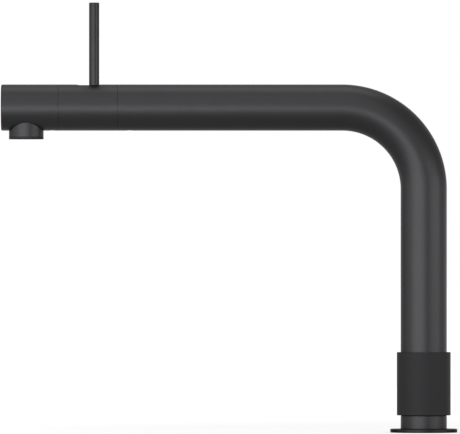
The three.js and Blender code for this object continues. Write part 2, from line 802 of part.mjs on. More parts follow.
function lever() {
  const tipEdge = 0.5;
  const rodFoot = hubRadius + gap;
  const rodBlank = turned([
    [0, rodFoot],
    [leverRadius, rodFoot],
    [leverRadius, leverRise - tipEdge],
    [leverRadius - tipEdge, leverRise],
    [0, leverRise],
  ]);
  const studHole = rod(studRadius + gap, 0, rodFoot + studLength + gap);
  const upright = (geometry) => geometry.rotateY(Math.PI / 2).translate(0, 0, leverSetBack);
  piece(mixer, "lever_rod", upright(cut(rodBlank, studHole)), satinBlack());

  const hub = rod(hubRadius, -hubHalfLength, hubHalfLength).rotateX(Math.PI / 2);
  const pinBore = rod(pinRadius + gap, -2 * hubHalfLength, 2 * hubHalfLength).rotateX(Math.PI / 2);
  const stud = rod(studRadius, hubRadius - past, rodFoot + studLength);
  const crank = rod(crankBall - gap, -crankArm, past - hubRadius);
  const ball = new THREE.SphereGeometry(crankBall, 10, 6).translate(0, 0, -crankArm);
  piece(mixer, "lever_hub", upright(cut(join(hub, stud, crank, ball), pinBore)), steel());
}

// Valve: the spindle slides in the core and lifts the ceramic disc off its seat

function valve() {
  const jawDepth = 1.5;
  const jawHalfWidth = 2;
  const cheekWidth = 1.2;
  const lap = 0.1; // of a cheek over the jaws
  const throat = crankBall + gap;
  const jawTop = -hubRadius - gap;
  const jawFoot = -crankArm - jawDepth;
  const webLength = 2;
  const webSetBack = 3; // from the hub, with the lever tilted
  const webPlace = leverSetBack + hubRadius + crankTravel + webSetBack;
  const armEnd = webPlace + webLength;

  // A bar of the spindle, between two heights and two places along the spout.
  const bar = (foot, top, width, start, end, side = 0) =>
    block(top - foot, width, end - start, (foot + top) / 2, side, (start + end) / 2);
  const rearJawEnd = leverSetBack - throat;
  const frontJaw = leverSetBack + throat;
  const rearJaw = bar(jawFoot, jawTop, 2 * jawHalfWidth, rearJawEnd - jawDepth, rearJawEnd);
  const arm = bar(jawFoot, jawTop, 2 * jawHalfWidth, frontJaw, armEnd);
  // Two cheeks tie the rear jaw to the arm on either side of the ball.
  const cheekSide = jawHalfWidth + cheekWidth / 2 - lap;
  const cheeks = [-cheekSide, cheekSide].map((side) =>
    bar(jawFoot, jawTop, cheekWidth, rearJawEnd - jawDepth, frontJaw + jawDepth, side),
  );
  const web = bar(jawFoot, spindleRadius, 2 * jawHalfWidth, webPlace, armEnd);
  const discStart = seatStart - 2 * gap - discHeight;
  const stemEnd = discStart + discHeight - discFloor;
  const stem = rod(spindleRadius, webPlace + webLength / 4, stemEnd);
  piece(mixer, "flow_spindle", join(rearJaw, arm, ...cheeks, web, stem), steel());

  const discBlank = rod(discRadius, discStart, discStart + discHeight);
  const stemHole = rod(spindleRadius + gap, discStart - past, stemEnd + gap);
  piece(mixer, "valve_disc", cut(discBlank, stemHole), ceramic());

  piece(mixer, "valve_seat", ring(seatBore, seatRadius, seatStart, seatStart + seatHeight), ceramic());
  const retainerFoot = seatStart + seatHeight + gap;
  const retainerTop = retainerFoot + retainerHeight;
  const keyWidth = 2.4;
  const keyDepth = 0.6;
  const keyway = block(3 * seatRadius, keyWidth, 2 * keyDepth, 0, 0, retainerTop);
  const retainer = ring(retainerBore, seatRadius, retainerFoot, retainerTop);
  piece(mixer, "seat_retainer", cut(retainer, keyway), brass());
}

// Head: the closed end of the spout, with a nozzle that points down and holds the aerator

function endHead() {
  const solidHead = turned([
    [0, headStart],
    [tubeRadius, headStart],
    [tubeRadius, headEnd - headEdge],
    ...arcPoints(tubeRadius - headEdge, headEnd - headEdge, headEdge, 0, 90),
    [0, headEnd],
  ]);
  const socket = rod(landRadius + gap, headStart - past, frontLandEnd + gap);
  const chamber = rod(chamberRadius, frontLandEnd, headEnd - headEndWall);
  const nozzleHole = radialRod(nozzleSpigot + gap, 0, 2 * tubeRadius, nozzleAxis, 180);
  const screwHole = radialRod(grubRadius + gap, landRadius - past, 2 * tubeRadius, headScrewPlace, 180);
  piece(mixer, "end_head", cut(solidHead, socket, chamber, nozzleHole, screwHole), satinBlack());
}

function nozzleAndAerator() {
  const rimTop = outletHeight + aeratorRimHeight;
  const nozzleFoot = rimTop + gap;
  const sealTop = aeratorBodyTop + gap + aeratorSealHeight;
  const shoulder = sealTop + gap;
  const skirt = ring(aeratorRadius + gap, nozzleRadius, nozzleFoot, spoutHeight);
  const tubeRoom = rod(tubeRadius + gap, -2 * nozzleRadius, 2 * nozzleRadius)
    .rotateY(Math.PI / 2)
    .translate(0, 0, spoutHeight);
  const neck = turned([
    [aeratorRadius + gap, nozzleFoot],
    [nozzleSpigot, nozzleFoot],
    [nozzleSpigot, nozzleTop],
    [aeratorBore + gap, nozzleTop],
    [aeratorBore + gap, shoulder],
    [aeratorRadius + gap, shoulder],
  ]);
  piece(outlet, "nozzle", join(cut(skirt, tubeRoom), neck), satinBlack());

  const housing = turned([
    [aeratorBore - aeratorLip, outletHeight],
    [nozzleRadius - aeratorRimEdge, outletHeight],
    [nozzleRadius, outletHeight + aeratorRimEdge],
    [nozzleRadius, rimTop],
    [aeratorRadius, rimTop],
    [aeratorRadius, aeratorBodyTop],
    [aeratorBore, aeratorBodyTop],
    [aeratorBore, outletHeight + aeratorLedge],
    [aeratorBore - aeratorLip, outletHeight + aeratorLedge],
  ]);
  piece(outlet, "aerator_housing", housing, satinBlack());

  const screenFoot = outletHeight + aeratorLedge + gap;
  const screenTop = screenFoot + screenHeight;
  const holes = [];
  for (const { count, radius } of screenRings) {
    for (let i = 0; i < count; i++) {
      const angle = (2 * Math.PI * i) / count;
      const hole = rod(screenHoleRadius, screenFoot - past, screenTop + past);
      holes.push(hole.translate(radius * Math.cos(angle), radius * Math.sin(angle), 0));
    }
  }
  const screen = ring(boilingRadius + gap, aeratorBore - gap, screenFoot, screenTop);
  piece(outlet, "aerator_screen", cut(screen, ...holes), acetal());
  const sealFoot = aeratorBodyTop + gap;
  piece(outlet, "aerator_seal", ring(aeratorBore + gap, aeratorRadius, sealFoot, sealTop), rubber());
}

// The boiling water leaves by its own thin pipe through the middle of the aerator.
function boilingOutlet() {
  const start = frontLandEnd + gap;
  const stub = 1.5; // straight out of the core
  const run = chamberRadius / 2; // how far below the axis the pipe runs
  const runEnd = 6; // before the nozzle's axis
  const elbow = 2.5;
  const mouth = spoutHeight - outletHeight - aeratorLedge;
  const points = [
    [-channelRing, 0, start],
    [-channelRing, 0, start + stub],
    [-run, 0, nozzleAxis - runEnd],
    [-run, 0, nozzleAxis - elbow],
    [-run - elbow, 0, nozzleAxis],
    [-mouth, 0, nozzleAxis],
  ].map((p) => new THREE.Vector3(...p));
  const curve = new THREE.CatmullRomCurve3(points, false, "centripetal");
  const steps = 10;
  const stations = Array.from({ length: steps + 1 }, (_, i) => ({
    point: curve.getPointAt(i / steps),
    along: curve.getTangentAt(i / steps),
  }));
  piece(mixer, "boiling_outlet", sweep(stations, boilingRadius, boilingBore, slimSides), steel());
}

baseFlange();
baseColumn();
swivelBearings();
deckFixing();
controlSleeve();
const springGap = returnSpring();
console.log(`least gap between the spring's turns: ${springGap.toFixed(2)} mm`);
spoutTube();
waterLines();
mixerCore();
mixerScrews();
mixerCollar();
lever();
valve();
endHead();
nozzleAndAerator();
boilingOutlet();

export default tap;
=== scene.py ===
# Boiling water tap in satin black: a round column that bends into a horizontal spout, a push-and-turn
# sleeve at its foot, and a mixer collar with a thin upright lever near the spout's end.
# Sizes are in millimetres and become metres in the meshes. The spout runs along -X.

import json
import math

import bmesh
import bpy
from mathutils import Matrix, Vector

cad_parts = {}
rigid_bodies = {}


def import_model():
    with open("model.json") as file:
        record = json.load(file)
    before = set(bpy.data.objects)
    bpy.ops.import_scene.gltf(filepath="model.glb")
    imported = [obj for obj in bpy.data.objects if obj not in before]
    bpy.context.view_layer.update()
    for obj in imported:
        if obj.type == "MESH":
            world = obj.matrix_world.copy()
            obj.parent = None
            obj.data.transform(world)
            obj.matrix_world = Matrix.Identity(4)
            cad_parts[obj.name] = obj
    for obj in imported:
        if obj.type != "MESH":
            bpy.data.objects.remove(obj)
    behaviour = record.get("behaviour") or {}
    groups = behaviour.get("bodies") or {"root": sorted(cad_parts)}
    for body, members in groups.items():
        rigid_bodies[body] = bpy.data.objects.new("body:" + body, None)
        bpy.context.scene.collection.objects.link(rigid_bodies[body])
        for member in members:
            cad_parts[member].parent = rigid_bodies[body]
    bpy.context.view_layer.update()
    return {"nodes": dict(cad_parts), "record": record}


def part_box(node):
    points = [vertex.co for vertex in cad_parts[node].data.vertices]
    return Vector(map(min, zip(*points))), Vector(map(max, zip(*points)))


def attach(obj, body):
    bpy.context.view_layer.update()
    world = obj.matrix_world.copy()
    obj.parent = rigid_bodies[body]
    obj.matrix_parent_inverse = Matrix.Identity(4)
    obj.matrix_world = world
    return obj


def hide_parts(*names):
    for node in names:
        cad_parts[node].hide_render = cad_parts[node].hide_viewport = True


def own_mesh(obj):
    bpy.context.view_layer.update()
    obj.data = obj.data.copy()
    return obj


for leftover in list(bpy.data.objects):
    bpy.data.objects.remove(leftover)
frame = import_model()
nodeBody = {}
for bodyName, members in frame["record"]["behaviour"]["bodies"].items():
    for member in members:
        nodeBody[member] = bodyName

mm = 0.001
facets = {"round": 144, "slim": 64, "small": 32}  # faces round a piece
sharpAngle = math.radians(32)
foldAngle = math.radians(55)  # rims and slot edges fold more sharply than this, facets don't
tiny = 1e-7  # metres, for merging doubles
clearance = 0.3  # between neighbouring pieces, as in the frame
past = 1  # how far a cutting shape runs past what it cuts
seam = 0.02  # what the closed joints of the coated pieces keep on either side
# how near a point lies to a corner, circle, rim, slot or outer surface that it belongs to
within = {"corner": 0.02, "circle": 0.005, "rim": 0.01, "slot": 0.1, "surface": 0.05}

print("frame loaded:", len(frame["nodes"]), "nodes")


# Sizes read from the frame

def nodeBox(node):
    low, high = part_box(node)
    return Vector(low) / mm, Vector(high) / mm


tubeLow, tubeHigh = nodeBox("spout_tube")
tubeRadius = tubeHigh.y
spoutHeight = tubeHigh.z - tubeRadius
tubeReach = -tubeLow.x
tubeFoot = tubeLow.z

# The mixer's pieces are made along +Z from the tube's end, with +X up, and then laid along the spout.
mixerStart = Matrix.Translation(Vector((-tubeReach, 0, spoutHeight)) * mm)
mixerPlace = mixerStart @ Matrix.Rotation(-math.pi / 2, 4, "Y")


def alongSpout(node):
    # how far past the tube's end a node starts and ends
    low, high = nodeBox(node)
    return -high.x - tubeReach, -low.x - tubeReach


# Mesh tools

def facetsFor(radius):
    if radius > 7:
        return facets["round"]
    return facets["slim"] if radius > 2.5 else facets["small"]


def turned(outline, steps=None):
    # spins an outline of (radius, height) about Z; it is closed unless it starts and ends on the axis
    bm = bmesh.new()
    line = [bm.verts.new((radius * mm, 0, height * mm)) for radius, height in outline]
    for near, far in zip(line, line[1:]):
        bm.edges.new((near, far))
    if outline[0][0] or outline[-1][0]:
        bm.edges.new((line[-1], line[0]))
    widest = max(radius for radius, height in outline)
    bmesh.ops.spin(
        bm, geom=bm.verts[:] + bm.edges[:], cent=(0, 0, 0), axis=(0, 0, 1), angle=2 * math.pi,
        steps=steps or facetsFor(widest), use_merge=True,
    )
    bmesh.ops.remove_doubles(bm, verts=bm.verts, dist=tiny)
    bmesh.ops.recalc_face_normals(bm, faces=bm.faces)
    return bm


def ring(inner, outer, foot, top):
    return turned([(inner, foot), (outer, foot), (outer, top), (inner, top)])


def rod(radius, foot, top):
    return turned([(0, foot), (radius, foot), (radius, top), (0, top)])


def roundRims(bm, size, corners, segments=3):
    # rounds the circular edges that lie at these (radius, height) corners about Z
    def atCorner(vert):
        radius, height = math.hypot(vert.co.x, vert.co.y) / mm, vert.co.z / mm
        return any(max(abs(radius - r), abs(height - z)) < within["corner"] for r, z in corners)

    rims = [edge for edge in bm.edges if all(atCorner(vert) for vert in edge.verts)]
    return rounded(bm, rims, size, segments)


def rounded(bm, edges, size, segments=2):
    bmesh.ops.bevel(
        bm, geom=edges, offset=size * mm, offset_type="OFFSET", segments=segments, profile=0.5,
        affect="EDGES", clamp_overlap=True, material=-1,
    )
    return bm


def moved(bm, matrix):
    bmesh.ops.transform(bm, matrix=matrix, verts=bm.verts)
    return bm


def shifted(bm, x=0, y=0, z=0):
    return moved(bm, Matrix.Translation(Vector((x, y, z)) * mm))


def pointedOut(bm, height, angle):
    # turns a piece made along Z so that it points out from the axis at a height, at an angle from +X
    lay = Matrix.Rotation(math.radians(angle), 4, "Z") @ Matrix.Rotation(math.pi / 2, 4, "Y")
    return moved(bm, Matrix.Translation((0, 0, height * mm)) @ lay)


def block(sizes, centre):
    bm = bmesh.new()
    bmesh.ops.create_cube(bm, size=1)
    bmesh.ops.scale(bm, vec=Vector(sizes) * mm, verts=bm.verts)
    return shifted(bm, *centre)


def asObject(bm, name):
    mesh = bpy.data.meshes.new(name)
    bm.to_mesh(mesh)
    bm.free()
    made = bpy.data.objects.new(name, mesh)
    bpy.context.scene.collection.objects.link(made)
    return made


def combined(bm, operation, others):
    target = asObject(bm, "target")
    tools = [asObject(other, "tool") for other in others]
    for tool in tools:
        step = target.modifiers.new("combine", "BOOLEAN")
        step.operation = operation
        step.solver = "EXACT"
        step.object = tool
    bpy.context.view_layer.update()
    result = bmesh.new()
    result.from_object(target, bpy.context.evaluated_depsgraph_get())
    for made in [target, *tools]:
        bpy.data.meshes.remove(made.data)
    bmesh.ops.remove_doubles(result, verts=result.verts, dist=tiny)
    return result


def cut(bm, *tools):
    return combined(bm, "DIFFERENCE", tools)


def joined(bm, *others):
    return combined(bm, "UNION", others)


def common(bm, other):
    return combined(bm, "INTERSECT", [other])


def sweptAlongSpout(radius, foot, reach, outward=0, sideways=0, steps=48):
    # an open tube on the spout's line, or beside it towards the outside of the bend and along +Y
    bend = spoutTube["bendRadius"]
    centre = Vector((-bend, 0, spoutHeight - bend)) * mm
    bm = bmesh.new()
    bmesh.ops.create_circle(bm, segments=facetsFor(radius), radius=radius * mm)
    shifted(bm, outward, sideways, foot)
    rim = stretched(bm, bm.edges[:], (0, 0, spoutHeight - bend - foot))
    spun = bmesh.ops.spin(
        bm, geom=rim, cent=centre, axis=(0, -1, 0), angle=math.pi / 2, steps=steps, use_merge=False,
    )
    rim = [part for part in spun["geom_last"] if isinstance(part, bmesh.types.BMEdge)]
    stretched(bm, rim, (bend - reach, 0, 0))
    bmesh.ops.remove_doubles(bm, verts=bm.verts, dist=tiny)
    bmesh.ops.recalc_face_normals(bm, faces=bm.faces)
    return bm


def stretched(bm, rim, way):
    grown = bmesh.ops.extrude_edge_only(bm, edges=rim)["geom"]
    newVerts = vertsOf(grown)
    bmesh.ops.translate(bm, vec=Vector(way) * mm, verts=newVerts)
    edges = [part for part in grown if isinstance(part, bmesh.types.BMEdge)]
    return [edge for edge in edges if all(vert in newVerts for vert in edge.verts)]


def vertsOf(parts):
    return [part for part in parts if isinstance(part, bmesh.types.BMVert)]


def walled(bm, wall):
    # an open skin gets its wall inwards
    bmesh.ops.solidify(bm, geom=bm.faces[:], thickness=wall * mm)
    bmesh.ops.recalc_face_normals(bm, faces=bm.faces)
    return bm


# where the flat root ends and the crest starts and ends, in shares of a thread's pitch
threadForm = {"rootEnd": 0.1, "crestStart": 0.45, "crestEnd": 0.65, "runOut": 1.5}


def threadedTube(thread, foot, top, rest):
    # a screw thread from foot to top, closed by an open outline that starts above it and ends at its foot
    form = threadForm
    pitch, crest, root = thread["pitch"], thread["crest"], thread["crest"] - thread["depth"]
    steps = thread["steps"]
    turns = math.ceil((top - foot) / pitch + 2 * form["runOut"])
    bm = bmesh.new()
    profile = [(root, 0), (root, form["rootEnd"]), (crest, form["crestStart"]), (crest, form["crestEnd"]),
               (root, 1)]
    start = foot - form["runOut"] * pitch
    line = [bm.verts.new((r * mm, 0, (start + share * pitch) * mm)) for r, share in profile]
    for near, far in zip(line, line[1:]):
        bm.edges.new((near, far))
    bmesh.ops.spin(
        bm, geom=bm.verts[:] + bm.edges[:], cent=(0, 0, 0), axis=(0, 0, 1), angle=2 * math.pi,
        dvec=(0, 0, pitch * mm / steps), steps=steps, use_merge=False,
    )
    oneTurn = bm.verts[:] + bm.edges[:] + bm.faces[:]
    for turn in range(1, turns):
        copied = bmesh.ops.duplicate(bm, geom=oneTurn)["geom"]
        bmesh.ops.translate(bm, vec=(0, 0, turn * pitch * mm), verts=vertsOf(copied))
    bmesh.ops.remove_doubles(bm, verts=bm.verts, dist=tiny * 10)
    rims = []
    for height, side in ((foot, -1), (top, 1)):
        sliced = bmesh.ops.bisect_plane(
            bm, geom=bm.verts[:] + bm.edges[:] + bm.faces[:], dist=tiny, plane_co=(0, 0, height * mm),
            plane_no=(0, 0, side), clear_outer=True,
        )
        rims.append([part for part in sliced["geom_cut"] if isinstance(part, bmesh.types.BMEdge)])
    before = set(bm.edges)
    line = [bm.verts.new((radius * mm, 0, height * mm)) for radius, height in rest]
    newEdges = [bm.edges.new(pair) for pair in zip(line, line[1:])]
    bmesh.ops.spin(
        bm, geom=line + newEdges, cent=(0, 0, 0), axis=(0, 0, 1), angle=2 * math.pi, steps=steps,
        use_merge=True,
    )
    added = [edge for edge in bm.edges if edge not in before]
    for rim, (radius, height) in zip(rims, (rest[-1], rest[0])):
        circle = [edge for edge in added if edge.is_valid and onCircle(edge, radius, height)]
        live = [edge for edge in rim if edge.is_valid]
        bmesh.ops.bridge_loops(bm, edges=live + circle)
    bmesh.ops.recalc_face_normals(bm, faces=bm.faces)
    return bm


def onCircle(edge, radius, height):
    offsets = [
        max(abs(vert.co.z / mm - height), abs(math.hypot(vert.co.x, vert.co.y) / mm - radius))
        for vert in edge.verts
    ]
    return max(offsets) < within["circle"]


def plainRing(node, inner, edge, inSpout=False):
    # a ring with the node's outside and height, and all its rims rounded
    low, high = nodeBox(node)
    foot, top = alongSpout(node) if inSpout else (low.z, high.z)
    corners = [(radius, height) for radius in (inner, high.y) for height in (foot, top)]
    return roundRims(ring(inner, high.y, foot, top), edge, corners, 2)


def finished(bm, name, material, angle=sharpAngle):
    # a mesh becomes the piece that stands for its CAD node
    bmesh.ops.dissolve_degenerate(bm, edges=bm.edges, dist=tiny)
    made = asObject(bm, "skin_" + name)
    made.data.shade_smooth()
    made.data.set_sharp_from_angle(angle=angle)
    evenShading(made)
    made.data.materials.append(material)
    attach(made, nodeBody[name])
    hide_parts(name)
    return made


def evenShading(made):
    # a large face keeps its own normal up to its rounded rim, so that highlights run straight
    even = made.modifiers.new("even", "WEIGHTED_NORMAL")
    even.keep_sharp = True
    bpy.context.view_layer.update()
    plain = made.data
    made.data = bpy.data.meshes.new_from_object(made.evaluated_get(bpy.context.evaluated_depsgraph_get()))
    made.modifiers.remove(even)
    bpy.data.meshes.remove(plain)


def inMixer(bm):
    return moved(bm, mixerPlace)


# Materials

def linear(hexColour):
    channels = [int(hexColour[i:i + 2], 16) / 255 for i in (0, 2, 4)]
    return tuple(c / 12.92 if c <= 0.04045 else ((c + 0.055) / 1.055) ** 2.4 for c in channels) + (1,)


def addNode(tree, kind, settings=None, values=None, links=None):
    node = tree.nodes.new("ShaderNode" + kind)
    for name, value in (settings or {}).items():
        setattr(node, name, value)
    for socket, value in (values or {}).items():
        node.inputs[socket].default_value = value
    for socket, source in (links or {}).items():
        tree.links.new(source, node.inputs[socket])
    return node


def perMetre(size):
    # a noise's scale for a pattern of that size in millimetres
    return 1 / (size * mm)


texture = {
    "cloudDetail": 3, "cloudRoughness": 0.55, "grainDetail": 2, "grainRoughness": 0.6,
    "grainLow": 0.3, "grainHigh": 0.7,  # the part of the grain's range that most of it fills
    "spread": 0.04, "depth": 0.02,  # of the roughness, and of the relief in mm, where a finish gives none
}


def surface(name, look, pattern=None):
    # a finish with two close colours, uneven roughness and a fine relief, all read in object space
    t = texture
    material = bpy.data.materials.new(name)
    material.use_nodes = True
    tree = material.node_tree
    tree.nodes.clear()
    place = addNode(tree, "TexCoord").outputs["Object"]
    if pattern:
        place = pattern(tree, place)
    cloud, grain = [
        addNode(
            tree, "TexNoise", links={"Vector": place},
            values={"Scale": perMetre(look[kind]), "Detail": t[kind + "Detail"],
                    "Roughness": t[kind + "Roughness"]},
        )
        for kind in ("cloud", "grain")
    ]
    colour = addNode(
        tree, "Mix", {"data_type": "RGBA"}, {"A": linear(look["hex"]), "B": linear(look["hexTwo"])},
        {"Factor": cloud.outputs["Fac"]},
    )
    spread, tint = look.get("spread", t["spread"]), look.get("edgeTint", 1)
    roughness = addNode(
        tree, "MapRange",
        values={"From Min": t["grainLow"], "From Max": t["grainHigh"],
                "To Min": look["roughness"] - spread, "To Max": look["roughness"] + spread},
        links={"Value": grain.outputs["Fac"]},
    )
    bump = addNode(
        tree, "Bump", values={"Strength": look["relief"], "Distance": look.get("depth", t["depth"]) * mm},
        links={"Height": grain.outputs["Fac"]},
    )
    shader = addNode(
        tree, "BsdfPrincipled",
        values={"Metallic": look["metallic"], "Specular Tint": (tint, tint, tint, 1)},
        links={"Base Color": colour.outputs["Result"], "Roughness": roughness.outputs["Result"],
               "Normal": bump.outputs["Normal"]},
    )
    if "ior" in look:
        shader.inputs["IOR"].default_value = look["ior"]
    addNode(tree, "OutputMaterial", links={"Surface": shader.outputs["BSDF"]})
    return material


def turningMarks(axis, centre, stretch=0.02):
    # lathe marks: the pattern follows the radius and the height, and hardly changes round the axis
    def pattern(tree, place):
        rotation = {"Z": (0, 0, 0), "X": (0, math.pi / 2, 0)}[axis]
        local = addNode(
            tree, "Mapping", {"vector_type": "TEXTURE"},
            {"Location": Vector(centre) * mm, "Rotation": rotation}, {"Vector": place},
        )
        parts = addNode(tree, "SeparateXYZ", links={"Vector": local.outputs["Vector"]})
        flat = addNode(tree, "CombineXYZ", links={"X": parts.outputs["X"], "Y": parts.outputs["Y"]})
        radius = addNode(
            tree, "VectorMath", {"operation": "LENGTH"}, links={"Vector": flat.outputs["Vector"]},
        )
        drift = addNode(
            tree, "Math", {"operation": "MULTIPLY"}, {1: stretch}, {0: parts.outputs["X"]},
        )
        return addNode(
            tree, "CombineXYZ",
            links={"X": radius.outputs["Value"], "Y": drift.outputs["Value"], "Z": parts.outputs["Z"]},
        ).outputs["Vector"]

    return pattern


# Satin black metal coating on blasted brass: a dark, even grey whose soft highlights follow the round form.
satinBlack = surface("satinBlackCoating", {
    "hex": "2e2e2f", "hexTwo": "2b2b2c", "metallic": 1, "roughness": 0.41, "edgeTint": 0.7,
    "cloud": 14, "grain": 0.6, "relief": 0.12, "depth": 0.01,
})
# The same coating over a rougher blast: darker, with flatter highlights, for a sure grip.
gripBlack = surface("blastedBlackCoating", {
    "hex": "29292a", "hexTwo": "272728", "metallic": 1, "roughness": 0.64, "edgeTint": 0.8,
    "cloud": 9, "grain": 0.5, "relief": 0.25, "depth": 0.015,
})
# The same coating on the polished lever: tighter highlights, and darker where it turns away.
polishedBlack = surface("polishedBlackCoating", {
    "hex": "292929", "hexTwo": "262627", "metallic": 1, "roughness": 0.32, "edgeTint": 0.45,
    "cloud": 12, "grain": 0.5, "relief": 0.1, "depth": 0.01,
})
# The black coating on the turned steel flange, made a deeper black than the spout's as painted shade at its
# foot on the worktop, with little light from its edges.
flangeShadeBlack = surface("flangeBlackPaintedShade", {
    "hex": "1f1f20", "hexTwo": "1d1d1e", "metallic": 1, "roughness": 0.36, "edgeTint": 0.5,
    "cloud": 10, "grain": 0.5, "relief": 0.1, "depth": 0.01,
})
# Machined brass: warm yellow metal with fine turning marks.
brass = {
    "hex": "c9a25a", "hexTwo": "b98f48", "metallic": 1, "roughness": 0.28,
    "cloud": 6, "grain": 0.25, "relief": 0.2,
}
brassUpright = surface("turnedBrass", brass, turningMarks("Z", (0, 0, 0)))
brassMixer = surface("turnedBrassAlongSpout", brass, turningMarks("X", (0, 0, spoutHeight)))
# Drawn stainless steel: bright and cool, with faint lines.
stainless = surface("drawnStainless", {
    "hex": "c6c8c9", "hexTwo": "b4b6b8", "metallic": 1, "roughness": 0.26,
    "cloud": 5, "grain": 0.3, "relief": 0.12,
})
# Drawn copper pipe, slightly dulled.
copper = surface("drawnCopper", {
    "hex": "c77f56", "hexTwo": "ad6642", "metallic": 1, "roughness": 0.34,
    "cloud": 7, "grain": 0.4, "relief": 0.12,
})
# Moulded EPDM rubber: dull black with a faint bloom.
rubber = surface("mouldedRubber", {
    "hex": "1d1d1e", "hexTwo": "262627", "metallic": 0, "roughness": 0.72, "ior": 1.52,
    "cloud": 8, "grain": 0.5, "relief": 0.35,
})
# Moulded nylon: even black with a soft sheen.
nylon = surface("mouldedNylon", {
    "hex": "1c1c1d", "hexTwo": "232324", "metallic": 0, "roughness": 0.5, "ior": 1.53,
    "cloud": 8, "grain": 0.4, "relief": 0.15,
})
# Moulded acetal: milky white, slightly waxy.
acetal = surface("mouldedAcetal", {
    "hex": "e6e4dc", "hexTwo": "dedbd1", "metallic": 0, "roughness": 0.42, "ior": 1.48,
    "cloud": 9, "grain": 0.6, "relief": 0.1,
})
# Lapped alumina ceramic: dense white with a polished face.
ceramic = surface("lappedCeramic", {
    "hex": "f2efe8", "hexTwo": "ebe7de", "metallic": 0, "roughness": 0.16, "spread": 0.02, "ior": 1.76,
    "cloud": 5, "grain": 0.4, "relief": 0.04,
})
nodeSlot = {name: node.data.materials[0].name for name, node in frame["nodes"].items()}
slotFinish = {
    "satin_black": satinBlack, "soft_black": gripBlack, "brass": brassMixer, "stainless": stainless,
    "copper": copper, "rubber": rubber, "acetal": acetal, "ceramic": ceramic,
}
for name, node in frame["nodes"].items():
    node.material_slots[0].material = slotFinish[nodeSlot[name]]
# the core's lands show in the collar's joints; they get the satin black instead of their brass, as painted
# shade in these joints
frame["nodes"]["mixer_core"].material_slots[0].material = satinBlack

print("materials made")


# Foot on the worktop

baseFlange = {
    "holeRadius": 15.2, "recess": 1, "recessRadius": 13.5, "edge": 0.4, "underEdge": 0.15,
    "sealWidth": 3.4, "sealEdge": 0.2,
}


def makeFlange():
    f = baseFlange
    high, sealHigh = nodeBox("base_flange")[1], nodeBox("flange_seal")[1]
    outer, top, hole, neck = high.x, high.z, f["holeRadius"], f["recessRadius"]
    sealInner = sealHigh.x - f["sealWidth"]
    bedOuter, bedInner, bedTop = sealHigh.x + clearance, sealInner - clearance, sealHigh.z + clearance
    bm = turned([
        (hole, 0), (bedInner, 0), (bedInner, bedTop), (bedOuter, bedTop), (bedOuter, 0), (outer, 0),
        (outer, top), (neck, top), (neck, f["recess"]), (hole, f["recess"]),
    ])
    roundRims(bm, f["edge"], [(outer, top)], 4)
    roundRims(bm, f["underEdge"], [(outer, 0)], 2)
    # the flange's black is darkened as painted shade at its foot
    finished(bm, "base_flange", flangeShadeBlack)
    finished(plainRing("flange_seal", sealInner, f["sealEdge"]), "flange_seal", rubber)


baseColumn = {
    "bodyRadius": 13, "spigotRadius": 12, "bore": 10, "socketRadius": 13.5, "socketTop": 9.8, "shoulder": 36,
    "neckTop": 11.6, "neckEdge": 0.25, "spigotEdge": 0.5,
    "slotHalfWidth": 1.5, "slotDepth": 1.8, "slotFoot": 20.35, "slotTop": 27.35,
    "grooveDepth": 1, "grooveFoot": 46.4, "grooveTop": 51, "grooveHalfAngle": 101.6,
}
bearings = {"edge": 0.2}


def makeColumn():
    high, flangeHigh = nodeBox("base_column")[1], nodeBox("base_flange")[1]
    c = baseColumn
    foot, top, outer = flangeHigh.z + seam, high.z, high.x
    bm = turned([
        (c["socketRadius"], foot), (outer, foot), (outer, c["neckTop"]), (c["bodyRadius"], c["neckTop"]),
        (c["bodyRadius"], c["shoulder"]), (c["spigotRadius"], c["shoulder"]), (c["spigotRadius"], top),
        (c["bore"], top), (c["bore"], c["socketTop"]), (c["socketRadius"], c["socketTop"]),
    ])
    roundRims(bm, c["neckEdge"], [(outer, foot), (outer, c["neckTop"])])
    roundRims(bm, c["spigotEdge"], [(c["spigotRadius"], top), (c["bore"], top)], 2)
    slotHeight = c["slotTop"] - c["slotFoot"]
    keyway = block(
        (2 * c["slotDepth"], 2 * c["slotHalfWidth"], slotHeight),
        (-c["bodyRadius"], 0, c["slotFoot"] + slotHeight / 2),
    )
    wide = c["spigotRadius"] + past
    groove = cut(
        ring(c["spigotRadius"] - c["grooveDepth"], wide, c["grooveFoot"], c["grooveTop"]),
        wedge(180 - c["grooveHalfAngle"], -90, 3 * wide, c["grooveFoot"] - past, c["grooveTop"] + past),
    )
    pocketLow, pocketHigh = nodeBox("position_sensor")
    room = Vector((2, 2, 2)) * clearance
    pocket = block(pocketHigh - pocketLow + room, (pocketLow + pocketHigh) / 2 + Vector((0, clearance, 0)))
    finished(cut(bm, keyway, groove, pocket), "base_column", satinBlack)


def makeBearings():
    inner = baseColumn["spigotRadius"] + clearance
    for node in ("thrust_washer", "lower_bush", "upper_bush"):
        finished(plainRing(node, inner, bearings["edge"]), node, acetal)
    low, high = nodeBox("position_sensor")
    sensor = block(high - low, (low + high) / 2)
    finished(rounded(sensor, sensor.edges[:], bearings["edge"]), "position_sensor", nylon)


def wedge(halfAngle, middle, radius, foot, top, steps=24):
    # a slice of a disc, spun from its section
    bm = bmesh.new()
    corners = [(0, foot), (radius, foot), (radius, top), (0, top)]
    face = bm.faces.new([bm.verts.new((r * mm, 0, z * mm)) for r, z in corners])
    moved(bm, Matrix.Rotation(math.radians(middle - halfAngle), 4, "Z"))
    bmesh.ops.spin(
        bm, geom=[face], cent=(0, 0, 0), axis=(0, 0, 1), angle=math.radians(2 * halfAngle), steps=steps,
        use_merge=False,
    )
    bmesh.ops.remove_doubles(bm, verts=bm.verts, dist=tiny)
    bmesh.ops.dissolve_degenerate(bm, edges=bm.edges, dist=tiny)
    bmesh.ops.recalc_face_normals(bm, faces=bm.faces)
    return bm


makeFlange()
makeColumn()
makeBearings()
print("foot made")


# Fixing under the worktop

